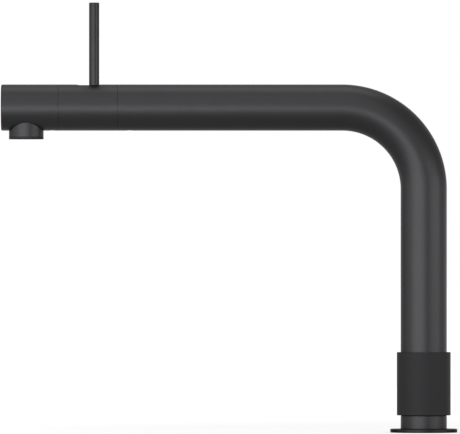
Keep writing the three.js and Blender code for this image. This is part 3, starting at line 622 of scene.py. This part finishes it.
threadedShank = {
    "thread": {"crest": 14.9, "depth": 1, "pitch": 2, "steps": 72}, "spigotRadius": 13.2, "bore": 10.5,
    "footBore": 12.2, "footBoreTop": -35, "threadTop": -1.5, "reliefLength": 0.6, "shoulder": 0.7,
}
clamp = {"hole": 15.2, "edge": 0.3, "acrossFlats": 38, "nutCornerCut": 1.4, "nutFaceEdge": 0.3}


def makeShank():
    low, high = nodeBox("threaded_shank")
    s = threadedShank
    foot, top, relief = low.z, high.z, s["reliefLength"]
    thread = s["thread"]
    root = thread["crest"] - thread["depth"]
    bm = threadedTube(thread, foot, s["threadTop"], [
        (root, s["threadTop"] + relief), (thread["crest"], s["threadTop"] + 2 * relief),
        (thread["crest"], s["shoulder"]), (s["spigotRadius"], s["shoulder"]), (s["spigotRadius"], top),
        (s["bore"], top), (s["bore"], s["footBoreTop"]), (s["footBore"], s["footBoreTop"]),
        (s["footBore"], foot),
    ])
    finished(bm, "threaded_shank", brassUpright)


def makeClamp():
    c = clamp
    finished(plainRing("rubber_pad", c["hole"], c["edge"]), "rubber_pad", rubber)
    finished(plainRing("clamp_washer", c["hole"], c["edge"]), "clamp_washer", stainless)

    low, high = nodeBox("lock_nut")
    flat, inset = c["acrossFlats"] / 2, c["nutCornerCut"]
    corner = flat / math.cos(math.pi / 6)
    face = flat - c["nutFaceEdge"]
    bm = bmesh.new()
    bmesh.ops.create_cone(
        bm, cap_ends=True, segments=6, radius1=corner * mm, radius2=corner * mm, depth=(high.z - low.z) * mm,
        matrix=Matrix.Translation((0, 0, (low.z + high.z) / 2 * mm)) @ Matrix.Rotation(math.pi / 6, 4, "Z"),
    )
    chamfer = turned([
        (0, low.z), (face, low.z), (corner, low.z + inset), (corner, high.z - inset), (face, high.z),
        (0, high.z),
    ])
    finished(cut(common(bm, chamfer), rod(c["hole"], low.z - past, high.z + past)), "lock_nut", brassUpright)


makeShank()
makeClamp()
print("fixing made")


# Sleeve

hexSocket = {"edge": 0.25, "widthShare": 0.5, "depth": 1.2}


def grubScrew(radius, tip, top):
    # a headless screw along Z, with a hexagon socket in its top
    h = hexSocket
    edge = h["edge"]
    bm = turned([
        (0, tip), (radius - edge, tip), (radius, tip + edge), (radius, top - edge), (radius - edge, top),
        (0, top),
    ])
    socket = bmesh.new()
    across = h["widthShare"] * radius * mm
    bmesh.ops.create_cone(
        socket, cap_ends=True, segments=6, radius1=across, radius2=across, depth=2 * h["depth"] * mm,
        matrix=Matrix.Translation((0, 0, top * mm)),
    )
    return cut(bm, socket)


controlSleeve = {
    "bore": 16.3, "edge": 1, "boreEdge": 0.2, "ribBore": 14.6, "ribFoot": 30, "ribTop": 33,
    "magnetRoom": 0.15,
}
controlCarrier = {
    "bore": 13.3, "wide": 16, "wideTop": 29.7, "narrow": 14.3, "edge": 0.2,
    "grooveDepth": 0.5, "grooveFoot": 33.15, "grooveTop": 34.45,
    "screwHeight": 25.85, "screwRadius": 1.2, "screwTip": 11.7, "screwTop": 15.7,
    "snapInner": 14.05, "snapOpening": 4, "snapEdge": 0.15,
}


def makeSleeve():
    low, high = nodeBox("control_sleeve")
    s = controlSleeve
    bore, outer = s["bore"], high.x
    bm = turned([
        (bore, low.z), (outer, low.z), (outer, high.z), (bore, high.z), (bore, s["ribTop"]),
        (s["ribBore"], s["ribTop"]), (s["ribBore"], s["ribFoot"]), (bore, s["ribFoot"]),
    ])
    roundRims(bm, s["edge"], [(outer, low.z), (outer, high.z)], 6)
    roundRims(bm, s["boreEdge"], [(bore, low.z), (bore, high.z)], 2)
    magnetLow, magnetHigh = nodeBox("sleeve_magnet")
    radius, height = (magnetHigh.x - magnetLow.x) / 2, (magnetLow.z + magnetHigh.z) / 2
    hole = pointedOut(rod(radius + s["magnetRoom"], s["ribBore"] - past, bore), height, 90)
    finished(cut(bm, hole), "control_sleeve", gripBlack)
    magnet = rod(radius, magnetLow.y, magnetHigh.y)
    roundRims(magnet, s["boreEdge"], [(radius, magnetLow.y), (radius, magnetHigh.y)], 2)
    finished(pointedOut(magnet, height, 90), "sleeve_magnet", stainless)


def makeCarrierRing():
    # the ring that slides down the column on its screw, and the snap ring that keeps the sleeve on it
    c = controlCarrier
    low, high = nodeBox("control_carrier")
    groove = c["narrow"] - c["grooveDepth"]
    bm = turned([
        (c["bore"], low.z), (c["wide"], low.z), (c["wide"], c["wideTop"]), (c["narrow"], c["wideTop"]),
        (c["narrow"], c["grooveFoot"]), (groove, c["grooveFoot"]), (groove, c["grooveTop"]),
        (c["narrow"], c["grooveTop"]), (c["narrow"], high.z), (c["bore"], high.z),
    ])
    corners = [(c["wide"], low.z), (c["wide"], c["wideTop"]), (c["bore"], low.z), (c["bore"], high.z)]
    roundRims(bm, c["edge"], corners, 2)
    screwHole = pointedOut(rod(c["screwRadius"] + clearance, 0, 2 * c["wide"]), c["screwHeight"], 180)
    finished(cut(bm, screwHole), "control_carrier", acetal)
    screw = grubScrew(c["screwRadius"], c["screwTip"], c["screwTop"])
    finished(pointedOut(screw, c["screwHeight"], 180), "guide_screw", stainless)

    low, high = nodeBox("snap_ring")
    size = c["snapOpening"]
    opening = block((2 * size, size, 2 * size), (-c["wide"], 0, low.z))
    finished(cut(plainRing("snap_ring", c["snapInner"], c["snapEdge"]), opening), "snap_ring", stainless)


returnSpring = {"wireRadius": 0.6, "wireFacets": 16, "turns": 4, "steps": 48, "pushTravel": 4}


def makeSpring():
    low, high = nodeBox("return_spring")
    s = returnSpring
    wire = s["wireRadius"]
    climb = high.z - low.z - 2 * wire
    bm = bmesh.new()
    bmesh.ops.create_circle(bm, cap_ends=True, segments=s["wireFacets"], radius=wire * mm)
    moved(bm, Matrix.Rotation(math.pi / 2, 4, "X"))
    shifted(bm, x=high.x - wire, z=low.z + wire)
    steps = s["turns"] * s["steps"]
    bmesh.ops.spin(
        bm, geom=bm.faces[:], cent=(0, 0, 0), axis=(0, 0, 1), angle=2 * math.pi * s["turns"],
        dvec=(0, 0, climb * mm / steps), steps=steps, use_merge=False,
    )
    bmesh.ops.recalc_face_normals(bm, faces=bm.faces)
    made = finished(bm, "return_spring", stainless)
    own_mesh(made)


makeSleeve()
makeCarrierRing()
makeSpring()
print("sleeve made")


# Spout

spoutTube = {"wall": 1.5, "bendRadius": 56.5, "bendSteps": 72, "rimEdge": 0.18}


def makeTube():
    t = spoutTube
    bm = sweptAlongSpout(tubeRadius, tubeFoot, tubeReach, steps=t["bendSteps"])
    walled(bm, t["wall"])
    rounded(bm, [edge for edge in bm.edges if isRim(edge)], t["rimEdge"])
    low, high = nodeBox("core_screw")
    coreHole = shifted(rod(high.y + clearance, low.z - past, spoutHeight), x=(low.x + high.x) / 2)
    low, high = nodeBox("swivel_screw")
    radius, height = high.x, (low.z + high.z) / 2
    stopHole = pointedOut(rod(radius + clearance, 0, 2 * tubeRadius), height, 90)
    finished(cut(bm, coreHole, stopHole), "spout_tube", satinBlack)
    finished(pointedOut(grubScrew(radius, low.y, high.y), height, 90), "swivel_screw", stainless)


def isRim(edge):
    # the edges where the wall turns over at the tube's two ends
    if not edge.is_manifold or edge.calc_face_angle() < foldAngle:
        return False
    middle = (edge.verts[0].co + edge.verts[1].co) / 2 / mm
    return min(abs(middle.z - tubeFoot), abs(middle.x + tubeReach)) < within["rim"]


pipes = {"wall": 1, "ring": 6.5, "angles": {"boiling": 180, "hot": 60, "cold": -60}}
inlets = {
    "thread": {"crest": 5.2, "depth": 0.55, "pitch": 1, "steps": 40}, "threadLength": 11,
    "reliefLength": 0.6, "bore": 2, "socketRadius": 3.3, "socketDepth": 8, "edge": 0.3,
}


def makeWaterLines():
    for name, angle in pipes["angles"].items():
        outward = pipes["ring"] * math.cos(math.radians(angle))
        sideways = pipes["ring"] * math.sin(math.radians(angle))
        low, high = nodeBox(name + "_pipe")
        pipe = sweptAlongSpout((high.y - low.y) / 2, low.z, -low.x, outward, sideways)
        finished(walled(pipe, pipes["wall"]), name + "_pipe", stainless if name == "boiling" else copper)
        low, high = nodeBox(name + "_inlet")
        i = inlets
        threadTop, relief, edge = low.z + i["threadLength"], i["reliefLength"], i["edge"]
        crest = i["thread"]["crest"]
        root = crest - i["thread"]["depth"]
        socketFoot = high.z - i["socketDepth"]
        inlet = threadedTube(i["thread"], low.z, threadTop, [
            (root, threadTop + relief), (crest, threadTop + 2 * relief), (crest, high.z - edge),
            (crest - edge, high.z), (i["socketRadius"], high.z), (i["socketRadius"], socketFoot),
            (i["bore"], socketFoot), (i["bore"], low.z),
        ])
        finished(shifted(inlet, outward, sideways, 0), name + "_inlet", brassUpright)


makeTube()
makeWaterLines()
print("spout made")


# Mixer: screws, collar, lever and what shows in its slot

collar = {
    "wall": 1.4, "edge": 0.15, "slotEdge": 0.2, "slotHalfWidth": 3.9, "slotBehind": 3.98, "slotAhead": 12.48,
    "leverPlace": 16.3, "pinEdge": 0.3, "screwAngle": 60, "screwPlace": 24.3, "screwRadius": 1.5,
    "screwInset": 0.5,
}
leverCarrier = {"wall": 3.7, "edge": 0.3, "pinHole": 1.8, "openHalfAngle": 72}


def carrierInner():
    return tubeRadius - collar["wall"] - clearance - leverCarrier["wall"]


def leverSlot():
    # the lever's slot with its round ends, as a cutter in the mixer's frame
    c = collar
    start, end = slotEnds()
    bm = bmesh.new()
    bmesh.ops.create_circle(bm, cap_ends=True, segments=facets["slim"], radius=c["slotHalfWidth"] * mm)
    for side, place in ((1, end - c["slotHalfWidth"]), (-1, start + c["slotHalfWidth"])):
        half = [vert for vert in bm.verts if (vert.co.x > 0) == (side > 0)]
        bmesh.ops.translate(bm, vec=(place * mm, 0, 0), verts=half)
    grown = bmesh.ops.extrude_face_region(bm, geom=bm.faces[:])["geom"]
    bmesh.ops.translate(bm, vec=(0, 0, -2 * tubeRadius * mm), verts=vertsOf(grown))
    moved(bm, Matrix.Rotation(-math.pi / 2, 4, "Y"))
    bmesh.ops.recalc_face_normals(bm, faces=bm.faces)
    return bm


def slotEnds():
    c = collar
    return c["leverPlace"] - c["slotBehind"], c["leverPlace"] + c["slotAhead"]


def carrierScrewHole():
    c = collar
    return pointedOut(rod(c["screwRadius"] + clearance, 0, 2 * tubeRadius), c["screwPlace"], c["screwAngle"])


def makeCollar():
    c = collar
    start, end = alongSpout("mixer_collar")
    start, end = start - clearance + 2 * seam, end + clearance - 2 * seam
    bore = tubeRadius - c["wall"]
    bm = ring(bore, tubeRadius, start, end)
    roundRims(bm, c["edge"], [(tubeRadius, start), (tubeRadius, end), (bore, start), (bore, end)], 2)
    bm = cut(bm, leverSlot(), carrierScrewHole())
    rounded(bm, [edge for edge in bm.edges if isSlotEdge(edge)], c["slotEdge"])
    finished(inMixer(bm), "mixer_collar", satinBlack)


def isSlotEdge(edge):
    # the slot's outer rim, in the mixer's frame
    if not edge.is_manifold or edge.calc_face_angle() < foldAngle:
        return False
    start, end = slotEnds()
    room = within["slot"]
    middle = (edge.verts[0].co + edge.verts[1].co) / 2 / mm
    onSurface = math.hypot(middle.x, middle.y) > tubeRadius - within["surface"]
    nearSlot = start - room < middle.z < end + room and abs(middle.y) < collar["slotHalfWidth"] + room
    return onSurface and nearSlot and middle.x > 0


def makeCarrier():
    # the brass ring that holds the lever's pin, open below for the core's bridge
    k = leverCarrier
    start, end = alongSpout("lever_carrier")
    pinHole = pointedOut(rod(k["pinHole"], -2 * tubeRadius, 2 * tubeRadius), collar["leverPlace"], 90)
    room = wedge(k["openHalfAngle"], 180, 3 * tubeRadius, start - past, end + past)
    bm = plainRing("lever_carrier", carrierInner(), k["edge"], True)
    finished(inMixer(cut(bm, leverSlot(), pinHole, carrierScrewHole(), room)), "lever_carrier", brassMixer)


def makeScrews():
    c = collar
    for node in ("core_screw", "head_screw"):
        low, high = nodeBox(node)
        screw = grubScrew(high.y, spoutHeight - high.z, spoutHeight - low.z)
        place = -tubeReach - (low.x + high.x) / 2
        finished(inMixer(pointedOut(screw, place, 180)), node, stainless)
    screw = grubScrew(c["screwRadius"], carrierInner() + c["screwInset"], tubeRadius - clearance)
    finished(inMixer(pointedOut(screw, c["screwPlace"], c["screwAngle"])), "carrier_screw", stainless)

    low, high = nodeBox("pivot_pin")
    radius, edge = (high.z - low.z) / 2, c["pinEdge"]
    pin = roundRims(rod(radius, low.y, high.y), edge, [(radius, low.y), (radius, high.y)])
    finished(inMixer(pointedOut(pin, c["leverPlace"], 90)), "pivot_pin", stainless)


lever = {
    "tipEdge": 0.5, "footEdge": 0.25, "studRadius": 2, "studLength": 10, "hubRadius": 4.5, "hubEdge": 0.3,
    "ballRadius": 1.3, "ballFacets": (32, 20), "crankRadius": 1, "crankArm": 6,
}


def makeLever():
    c = lever
    low, high = nodeBox("lever_rod")
    radius, foot, top = high.y, low.z - spoutHeight, high.z - spoutHeight
    place = Vector((-tubeReach - collar["leverPlace"], 0, spoutHeight))
    hole, holeTop = c["studRadius"] + clearance, foot + c["studLength"] + clearance
    bm = turned([(0, holeTop), (hole, holeTop), (hole, foot), (radius, foot), (radius, top), (0, top)])
    roundRims(bm, c["tipEdge"], [(radius, top)], 2)
    roundRims(bm, c["footEdge"], [(radius, foot)], 2)
    finished(shifted(bm, *place), "lever_rod", polishedBlack)

    # the hub lies along Y, with the rod's stud above it and the crank with its ball below
    low, high = nodeBox("lever_hub")
    half, edge = high.y, c["hubEdge"]
    sideways = Matrix.Rotation(math.pi / 2, 4, "X")
    hub = rod(c["hubRadius"], -half, half)
    moved(roundRims(hub, edge, [(c["hubRadius"], -half), (c["hubRadius"], half)]), sideways)
    stud = rod(c["studRadius"], c["hubRadius"] - past, foot + c["studLength"])
    roundRims(stud, edge, [(c["studRadius"], foot + c["studLength"])])
    crank = rod(c["crankRadius"], -c["crankArm"], past - c["hubRadius"])
    ball = bmesh.new()
    around, upwards = c["ballFacets"]
    bmesh.ops.create_uvsphere(ball, u_segments=around, v_segments=upwards, radius=c["ballRadius"] * mm)
    shifted(ball, z=-c["crankArm"])
    bore = moved(rod(leverCarrier["pinHole"], -2 * half, 2 * half), sideways)
    finished(shifted(cut(joined(hub, stud, crank, ball), bore), *place), "lever_hub", stainless)


valve = {
    "stemHole": 2.3, "discFloor": 0.7, "seatBore": 3.5, "retainerBore": 5, "keyWidth": 2.4, "keyDepth": 0.6,
    "edge": 0.25,
}
slipRings = {"inner": 13.35, "split": 1, "edge": 0.15}


def makeValve():
    v = valve
    edge = v["edge"]
    start, end = alongSpout("valve_disc")
    hole, holeEnd, outer = v["stemHole"], end - v["discFloor"], nodeBox("valve_disc")[1].y
    disc = turned([(0, holeEnd), (hole, holeEnd), (hole, start), (outer, start), (outer, end), (0, end)])
    finished(inMixer(roundRims(disc, edge, [(outer, start), (outer, end)], 2)), "valve_disc", ceramic)
    finished(inMixer(plainRing("valve_seat", v["seatBore"], edge, True)), "valve_seat", ceramic)

    start, end = alongSpout("seat_retainer")
    keyway = block((4 * outer, v["keyWidth"], 2 * v["keyDepth"]), (0, 0, end))
    retainer = cut(plainRing("seat_retainer", v["retainerBore"], edge, True), keyway)
    finished(inMixer(retainer), "seat_retainer", brassMixer)

    s = slipRings
    for node in ("rear_slip_ring", "front_slip_ring"):
        start, end = alongSpout(node)
        split = block((tubeRadius, s["split"], 2 * (end - start)), (tubeRadius, 0, (start + end) / 2))
        finished(inMixer(cut(plainRing(node, s["inner"], s["edge"], True), split)), node, acetal)


makeCollar()
makeCarrier()
makeScrews()
makeLever()
makeValve()
print("mixer made")


# Head, nozzle and aerator

endHead = {
    "edge": 1, "jointEdge": 0.15, "socketRadius": 14.5, "socketDepth": 9.3, "chamberRadius": 13.5,
    "endWall": 3.2, "nozzlePlace": 22.3,
}
nozzle = {
    "spigotStep": 0.4, "saddleGap": 0.04, "edge": 0.1, "bore": 9.9, "neckBore": 8.1, "shoulder": 210.8,
    "top": 211.5,
}
aerator = {
    "rimTop": 204.7, "bodyRadius": 9.6, "bore": 7.8, "lip": 6.8, "ledge": 204, "edge": 0.3,
    "innerEdge": 0.1, "holeRadius": 0.6, "holeFacets": 16, "holeRings": [(8, 3.3), (12, 4.9), (18, 6.4)],
}
boilingOutlet = {
    "radius": 1.9, "wall": 0.7, "entry": -11.2, "stub": 1.5, "run": -6.75, "runEnd": 6, "bendRadius": 3.5,
    "bendSteps": 10, "roundness": 12,
}


def makeHead():
    h = endHead
    start, end = alongSpout("end_head")
    socketEnd, chamberEnd = start + h["socketDepth"], end - h["endWall"]
    bm = turned([
        (0, chamberEnd), (h["chamberRadius"], chamberEnd), (h["chamberRadius"], socketEnd),
        (h["socketRadius"], socketEnd), (h["socketRadius"], start), (tubeRadius, start), (tubeRadius, end),
        (0, end),
    ])
    roundRims(bm, h["edge"], [(tubeRadius, end)], 8)
    roundRims(bm, h["jointEdge"], [(tubeRadius, start), (h["socketRadius"], start)], 2)
    low, high = nodeBox("nozzle")
    holeRadius = high.y - nozzle["spigotStep"] + clearance
    nozzleHole = pointedOut(rod(holeRadius, 0, 2 * tubeRadius), start + h["nozzlePlace"], 180)
    low, high = nodeBox("head_screw")
    place = -tubeReach - (low.x + high.x) / 2
    screwHole = pointedOut(rod(high.y + clearance, h["chamberRadius"] - past, 2 * tubeRadius), place, 180)
    finished(inMixer(cut(bm, nozzleHole, screwHole)), "end_head", satinBlack)


def makeNozzle():
    # the skirt ends on the head's round underside, and the spigot inside it reaches the head's chamber
    n = nozzle
    low, high = nodeBox("nozzle")
    outer, foot, above = high.y, aerator["rimTop"] + 2 * seam, spoutHeight
    bm = turned([
        (n["bore"], foot), (outer, foot), (outer, above), (n["neckBore"], above),
        (n["neckBore"], n["shoulder"]), (n["bore"], n["shoulder"]),
    ])
    roundRims(bm, n["edge"], [(outer, foot)], 2)
    room = pointedOut(rod(tubeRadius + n["saddleGap"], -2 * outer, 2 * outer), spoutHeight, 0)
    room = cut(room, rod(outer - n["spigotStep"], foot, n["top"]))
    finished(shifted(cut(bm, room), x=(low.x + high.x) / 2), "nozzle", satinBlack)


def makeAerator():
    a = aerator
    low, high = nodeBox("aerator_housing")
    axisX, outer, foot, top = (low.x + high.x) / 2, high.y, low.z, high.z
    bm = turned([
        (a["lip"], foot), (outer, foot), (outer, a["rimTop"]), (a["bodyRadius"], a["rimTop"]),
        (a["bodyRadius"], top), (a["bore"], top), (a["bore"], a["ledge"]), (a["lip"], a["ledge"]),
    ])
    roundRims(bm, a["edge"], [(outer, foot)], 4)
    roundRims(bm, a["innerEdge"], [(outer, a["rimTop"]), (a["lip"], foot)], 2)
    finished(shifted(bm, x=axisX), "aerator_housing", gripBlack)

    low, high = nodeBox("aerator_screen")
    holes = []
    for count, place in a["holeRings"]:
        for i in range(count):
            angle = 2 * math.pi * i / count
            bottom, above = low.z - past, high.z + past
            hole = turned([(0, bottom), (a["holeRadius"], bottom), (a["holeRadius"], above), (0, above)],
                          a["holeFacets"])
            holes.append(shifted(hole, place * math.cos(angle), place * math.sin(angle)))
    screen = plainRing("aerator_screen", boilingOutlet["radius"] + clearance, a["innerEdge"])
    finished(shifted(cut(screen, together(holes)), x=axisX), "aerator_screen", acetal)
    seal = plainRing("aerator_seal", a["bore"] + clearance, a["innerEdge"])
    finished(shifted(seal, x=axisX), "aerator_seal", rubber)


def together(meshes):
    # separate closed shapes as one, so that they cut in one step
    whole = bmesh.new()
    for part in meshes:
        made = bpy.data.meshes.new("part")
        part.to_mesh(made)
        part.free()
        whole.from_mesh(made)
        bpy.data.meshes.remove(made)
    return whole


def makeBoilingOutlet():
    # a thin pipe from the core, low in the head's chamber, then down through the middle of the aerator
    o = boilingOutlet
    low, high = nodeBox("boiling_outlet")
    nozzleLow, nozzleHigh = nodeBox("nozzle")
    start, axis = -high.x - tubeReach, -(nozzleLow.x + nozzleHigh.x) / 2 - tubeReach
    foot, bore = low.z - spoutHeight, o["radius"] - o["wall"]
    corners = [(o["entry"], start + o["stub"]), (o["run"], axis - o["runEnd"]), (o["run"], axis)]
    pipe = bentRod(o["radius"], [(o["entry"], start), *corners, (foot, axis)])
    inside = bentRod(bore, [(o["entry"], start - past), *corners, (foot - past, axis)])
    finished(inMixer(cut(pipe, inside)), "boiling_outlet", stainless)


def bentRod(radius, corners):
    # a round rod in the plane of the spout and the nozzle, through corners of (outward, along)
    o = boilingOutlet
    points = [Vector((outward, 0, along)) * mm for outward, along in corners]
    line = [points[0]]
    for before, corner, after in zip(points, points[1:], points[2:]):
        arriving, leaving = (corner - before).normalized(), (after - corner).normalized()
        turn = arriving.angle(leaving)
        centre = corner + (leaving - arriving).normalized() * o["bendRadius"] * mm / math.cos(turn / 2)
        arm = corner - arriving * o["bendRadius"] * mm * math.tan(turn / 2) - centre
        for i in range(o["bendSteps"] + 1):
            swing = Matrix.Rotation(turn * i / o["bendSteps"], 3, arriving.cross(leaving))
            line.append(centre + swing @ arm)
    line.append(points[-1])
    curve = bpy.data.curves.new("line", "CURVE")
    curve.dimensions = "3D"
    curve.bevel_depth = radius * mm
    curve.bevel_resolution = o["roundness"]
    curve.use_fill_caps = True
    spline = curve.splines.new("POLY")
    spline.points.add(len(line) - 1)
    for point, place in zip(spline.points, line):
        point.co = (*place, 1)
    holder = bpy.data.objects.new("line", curve)
    mesh = bpy.data.meshes.new_from_object(holder)
    bm = bmesh.new()
    bm.from_mesh(mesh)
    bpy.data.meshes.remove(mesh)
    bpy.data.objects.remove(holder)
    bmesh.ops.remove_doubles(bm, verts=bm.verts, dist=tiny)
    bmesh.ops.recalc_face_normals(bm, faces=bm.faces)
    return bm


makeHead()
makeNozzle()
makeAerator()
makeBoilingOutlet()
print("head made")


# Studio

camera = {
    "focal": 800, "sensor": 36, "aimX": -134.2, "aimZ": 149.2, "frameWidth": 318.6,
    "clipStart": 100, "clipShare": 3,
}


def makeCamera():
    c = camera
    data = bpy.data.cameras.new("camera")
    data.lens, data.sensor_width = c["focal"], c["sensor"]
    distance = c["frameWidth"] * c["focal"] / c["sensor"] * mm
    data.clip_start, data.clip_end = c["clipStart"] * mm, c["clipShare"] * distance
    made = bpy.data.objects.new("camera", data)
    bpy.context.scene.collection.objects.link(made)
    made.location = (c["aimX"] * mm, -distance, c["aimZ"] * mm)
    made.rotation_euler = (math.pi / 2, 0, 0)
    bpy.context.scene.camera = made


softboxes = {
    # direction seen from the tap: degrees to the right of the camera and above the horizon, and distance
    "key": {"azimuth": -25, "elevation": 2, "distance": 1320, "width": 1640, "height": 318, "power": 10.9},
    "low": {"azimuth": -20, "elevation": -6, "distance": 640, "width": 1200, "height": 90, "power": 0.95},
    "fill": {"azimuth": 58, "elevation": 3, "distance": 1400, "width": 1340, "height": 376, "power": 7.3},
    "top": {"azimuth": -13, "elevation": 45, "distance": 1320, "width": 1580, "height": 1490, "power": 10.5},
    "back": {"azimuth": 171, "elevation": 79, "distance": 1630, "width": 1180, "height": 970, "power": 9.7},
    "left": {"azimuth": -80, "elevation": 15, "distance": 1250, "width": 1030, "height": 925, "power": 5.3},
    "right": {"azimuth": 117, "elevation": -2, "distance": 650, "width": 1510, "height": 180, "power": 0.74},
}


def makeSoftboxes():
    centre = Vector((-tubeReach / 2, 0, spoutHeight / 2)) * mm
    for name, box in softboxes.items():
        azimuth, elevation = math.radians(box["azimuth"]), math.radians(box["elevation"])
        way = Vector((math.sin(azimuth) * math.cos(elevation), -math.cos(azimuth) * math.cos(elevation),
                      math.sin(elevation)))
        data = bpy.data.lights.new(name, "AREA")
        data.shape = "RECTANGLE"
        data.size, data.size_y = box["width"] * mm, box["height"] * mm
        data.energy = box["power"]
        made = bpy.data.objects.new(name, data)
        bpy.context.scene.collection.objects.link(made)
        made.location = centre + way * box["distance"] * mm
        made.rotation_euler = (-way).to_track_quat("-Z", "Y").to_euler()


def seenDirectly(tree):
    # 1 for camera, mirror and glass rays, which see the white studio, and 0 for the light that it gives
    path = addNode(tree, "LightPath")
    seen = path.outputs["Is Camera Ray"]
    for kind in ("Is Glossy Ray", "Is Transmission Ray"):
        either = addNode(tree, "Math", {"operation": "MAXIMUM"}, links={0: seen, 1: path.outputs[kind]})
        seen = either.outputs[0]
    return seen


def makeWorld():
    world = bpy.data.worlds.new("studio")
    world.use_nodes = True
    tree = world.node_tree
    tree.nodes.clear()
    strength = addNode(
        tree, "MapRange", values={"To Min": studio["ambient"], "To Max": 1},
        links={"Value": seenDirectly(tree)},
    )
    light = addNode(tree, "Background", links={"Strength": strength.outputs["Result"]})
    light.inputs["Color"].default_value = (1, 1, 1, 1)
    addNode(tree, "OutputWorld", links={"Surface": light.outputs["Background"]})
    bpy.context.scene.world = world
    bpy.context.scene.view_settings.view_transform = "Standard"


studio = {
    "ambient": 0.55, "floorSize": 60000, "floorHex": "9a9a9a",
    # the floor's own white grows away from the tap, where the boxes no longer light it
    "glowNear": 0.57, "glowFar": 0.86, "nearEnd": 250, "farStart": 1200,
}


def makeFloor():
    # a pale worktop that keeps the tap's shadow; from below it lets the fixing show
    bm = bmesh.new()
    bmesh.ops.create_grid(bm, x_segments=1, y_segments=1, size=studio["floorSize"] / 2 * mm)
    floor = asObject(bm, "floor")
    material = bpy.data.materials.new("paleWorktop")
    material.use_nodes = True
    tree = material.node_tree
    tree.nodes.clear()
    matte = addNode(tree, "BsdfDiffuse")
    matte.inputs["Color"].default_value = linear(studio["floorHex"])
    place = addNode(tree, "TexCoord").outputs["Object"]
    away = addNode(tree, "VectorMath", {"operation": "LENGTH"}, links={"Vector": place})
    white = addNode(
        tree, "MapRange",
        values={"From Min": studio["nearEnd"] * mm, "From Max": studio["farStart"] * mm,
                "To Min": studio["glowNear"], "To Max": studio["glowFar"]},
        links={"Value": away.outputs["Value"]},
    )
    strength = addNode(
        tree, "Math", {"operation": "MULTIPLY"}, links={0: seenDirectly(tree), 1: white.outputs["Result"]},
    )
    glow = addNode(tree, "Emission", links={"Strength": strength.outputs[0]})
    lit = addNode(tree, "AddShader", links={0: matte.outputs[0], 1: glow.outputs[0]})
    clear = addNode(tree, "BsdfTransparent")
    side = addNode(tree, "NewGeometry")
    shown = addNode(
        tree, "MixShader", links={0: side.outputs["Backfacing"], 1: lit.outputs[0], 2: clear.outputs[0]},
    )
    addNode(tree, "OutputMaterial", links={"Surface": shown.outputs[0]})
    floor.data.materials.append(material)


makeCamera()
makeSoftboxes()
makeWorld()
makeFloor()
print("studio made")
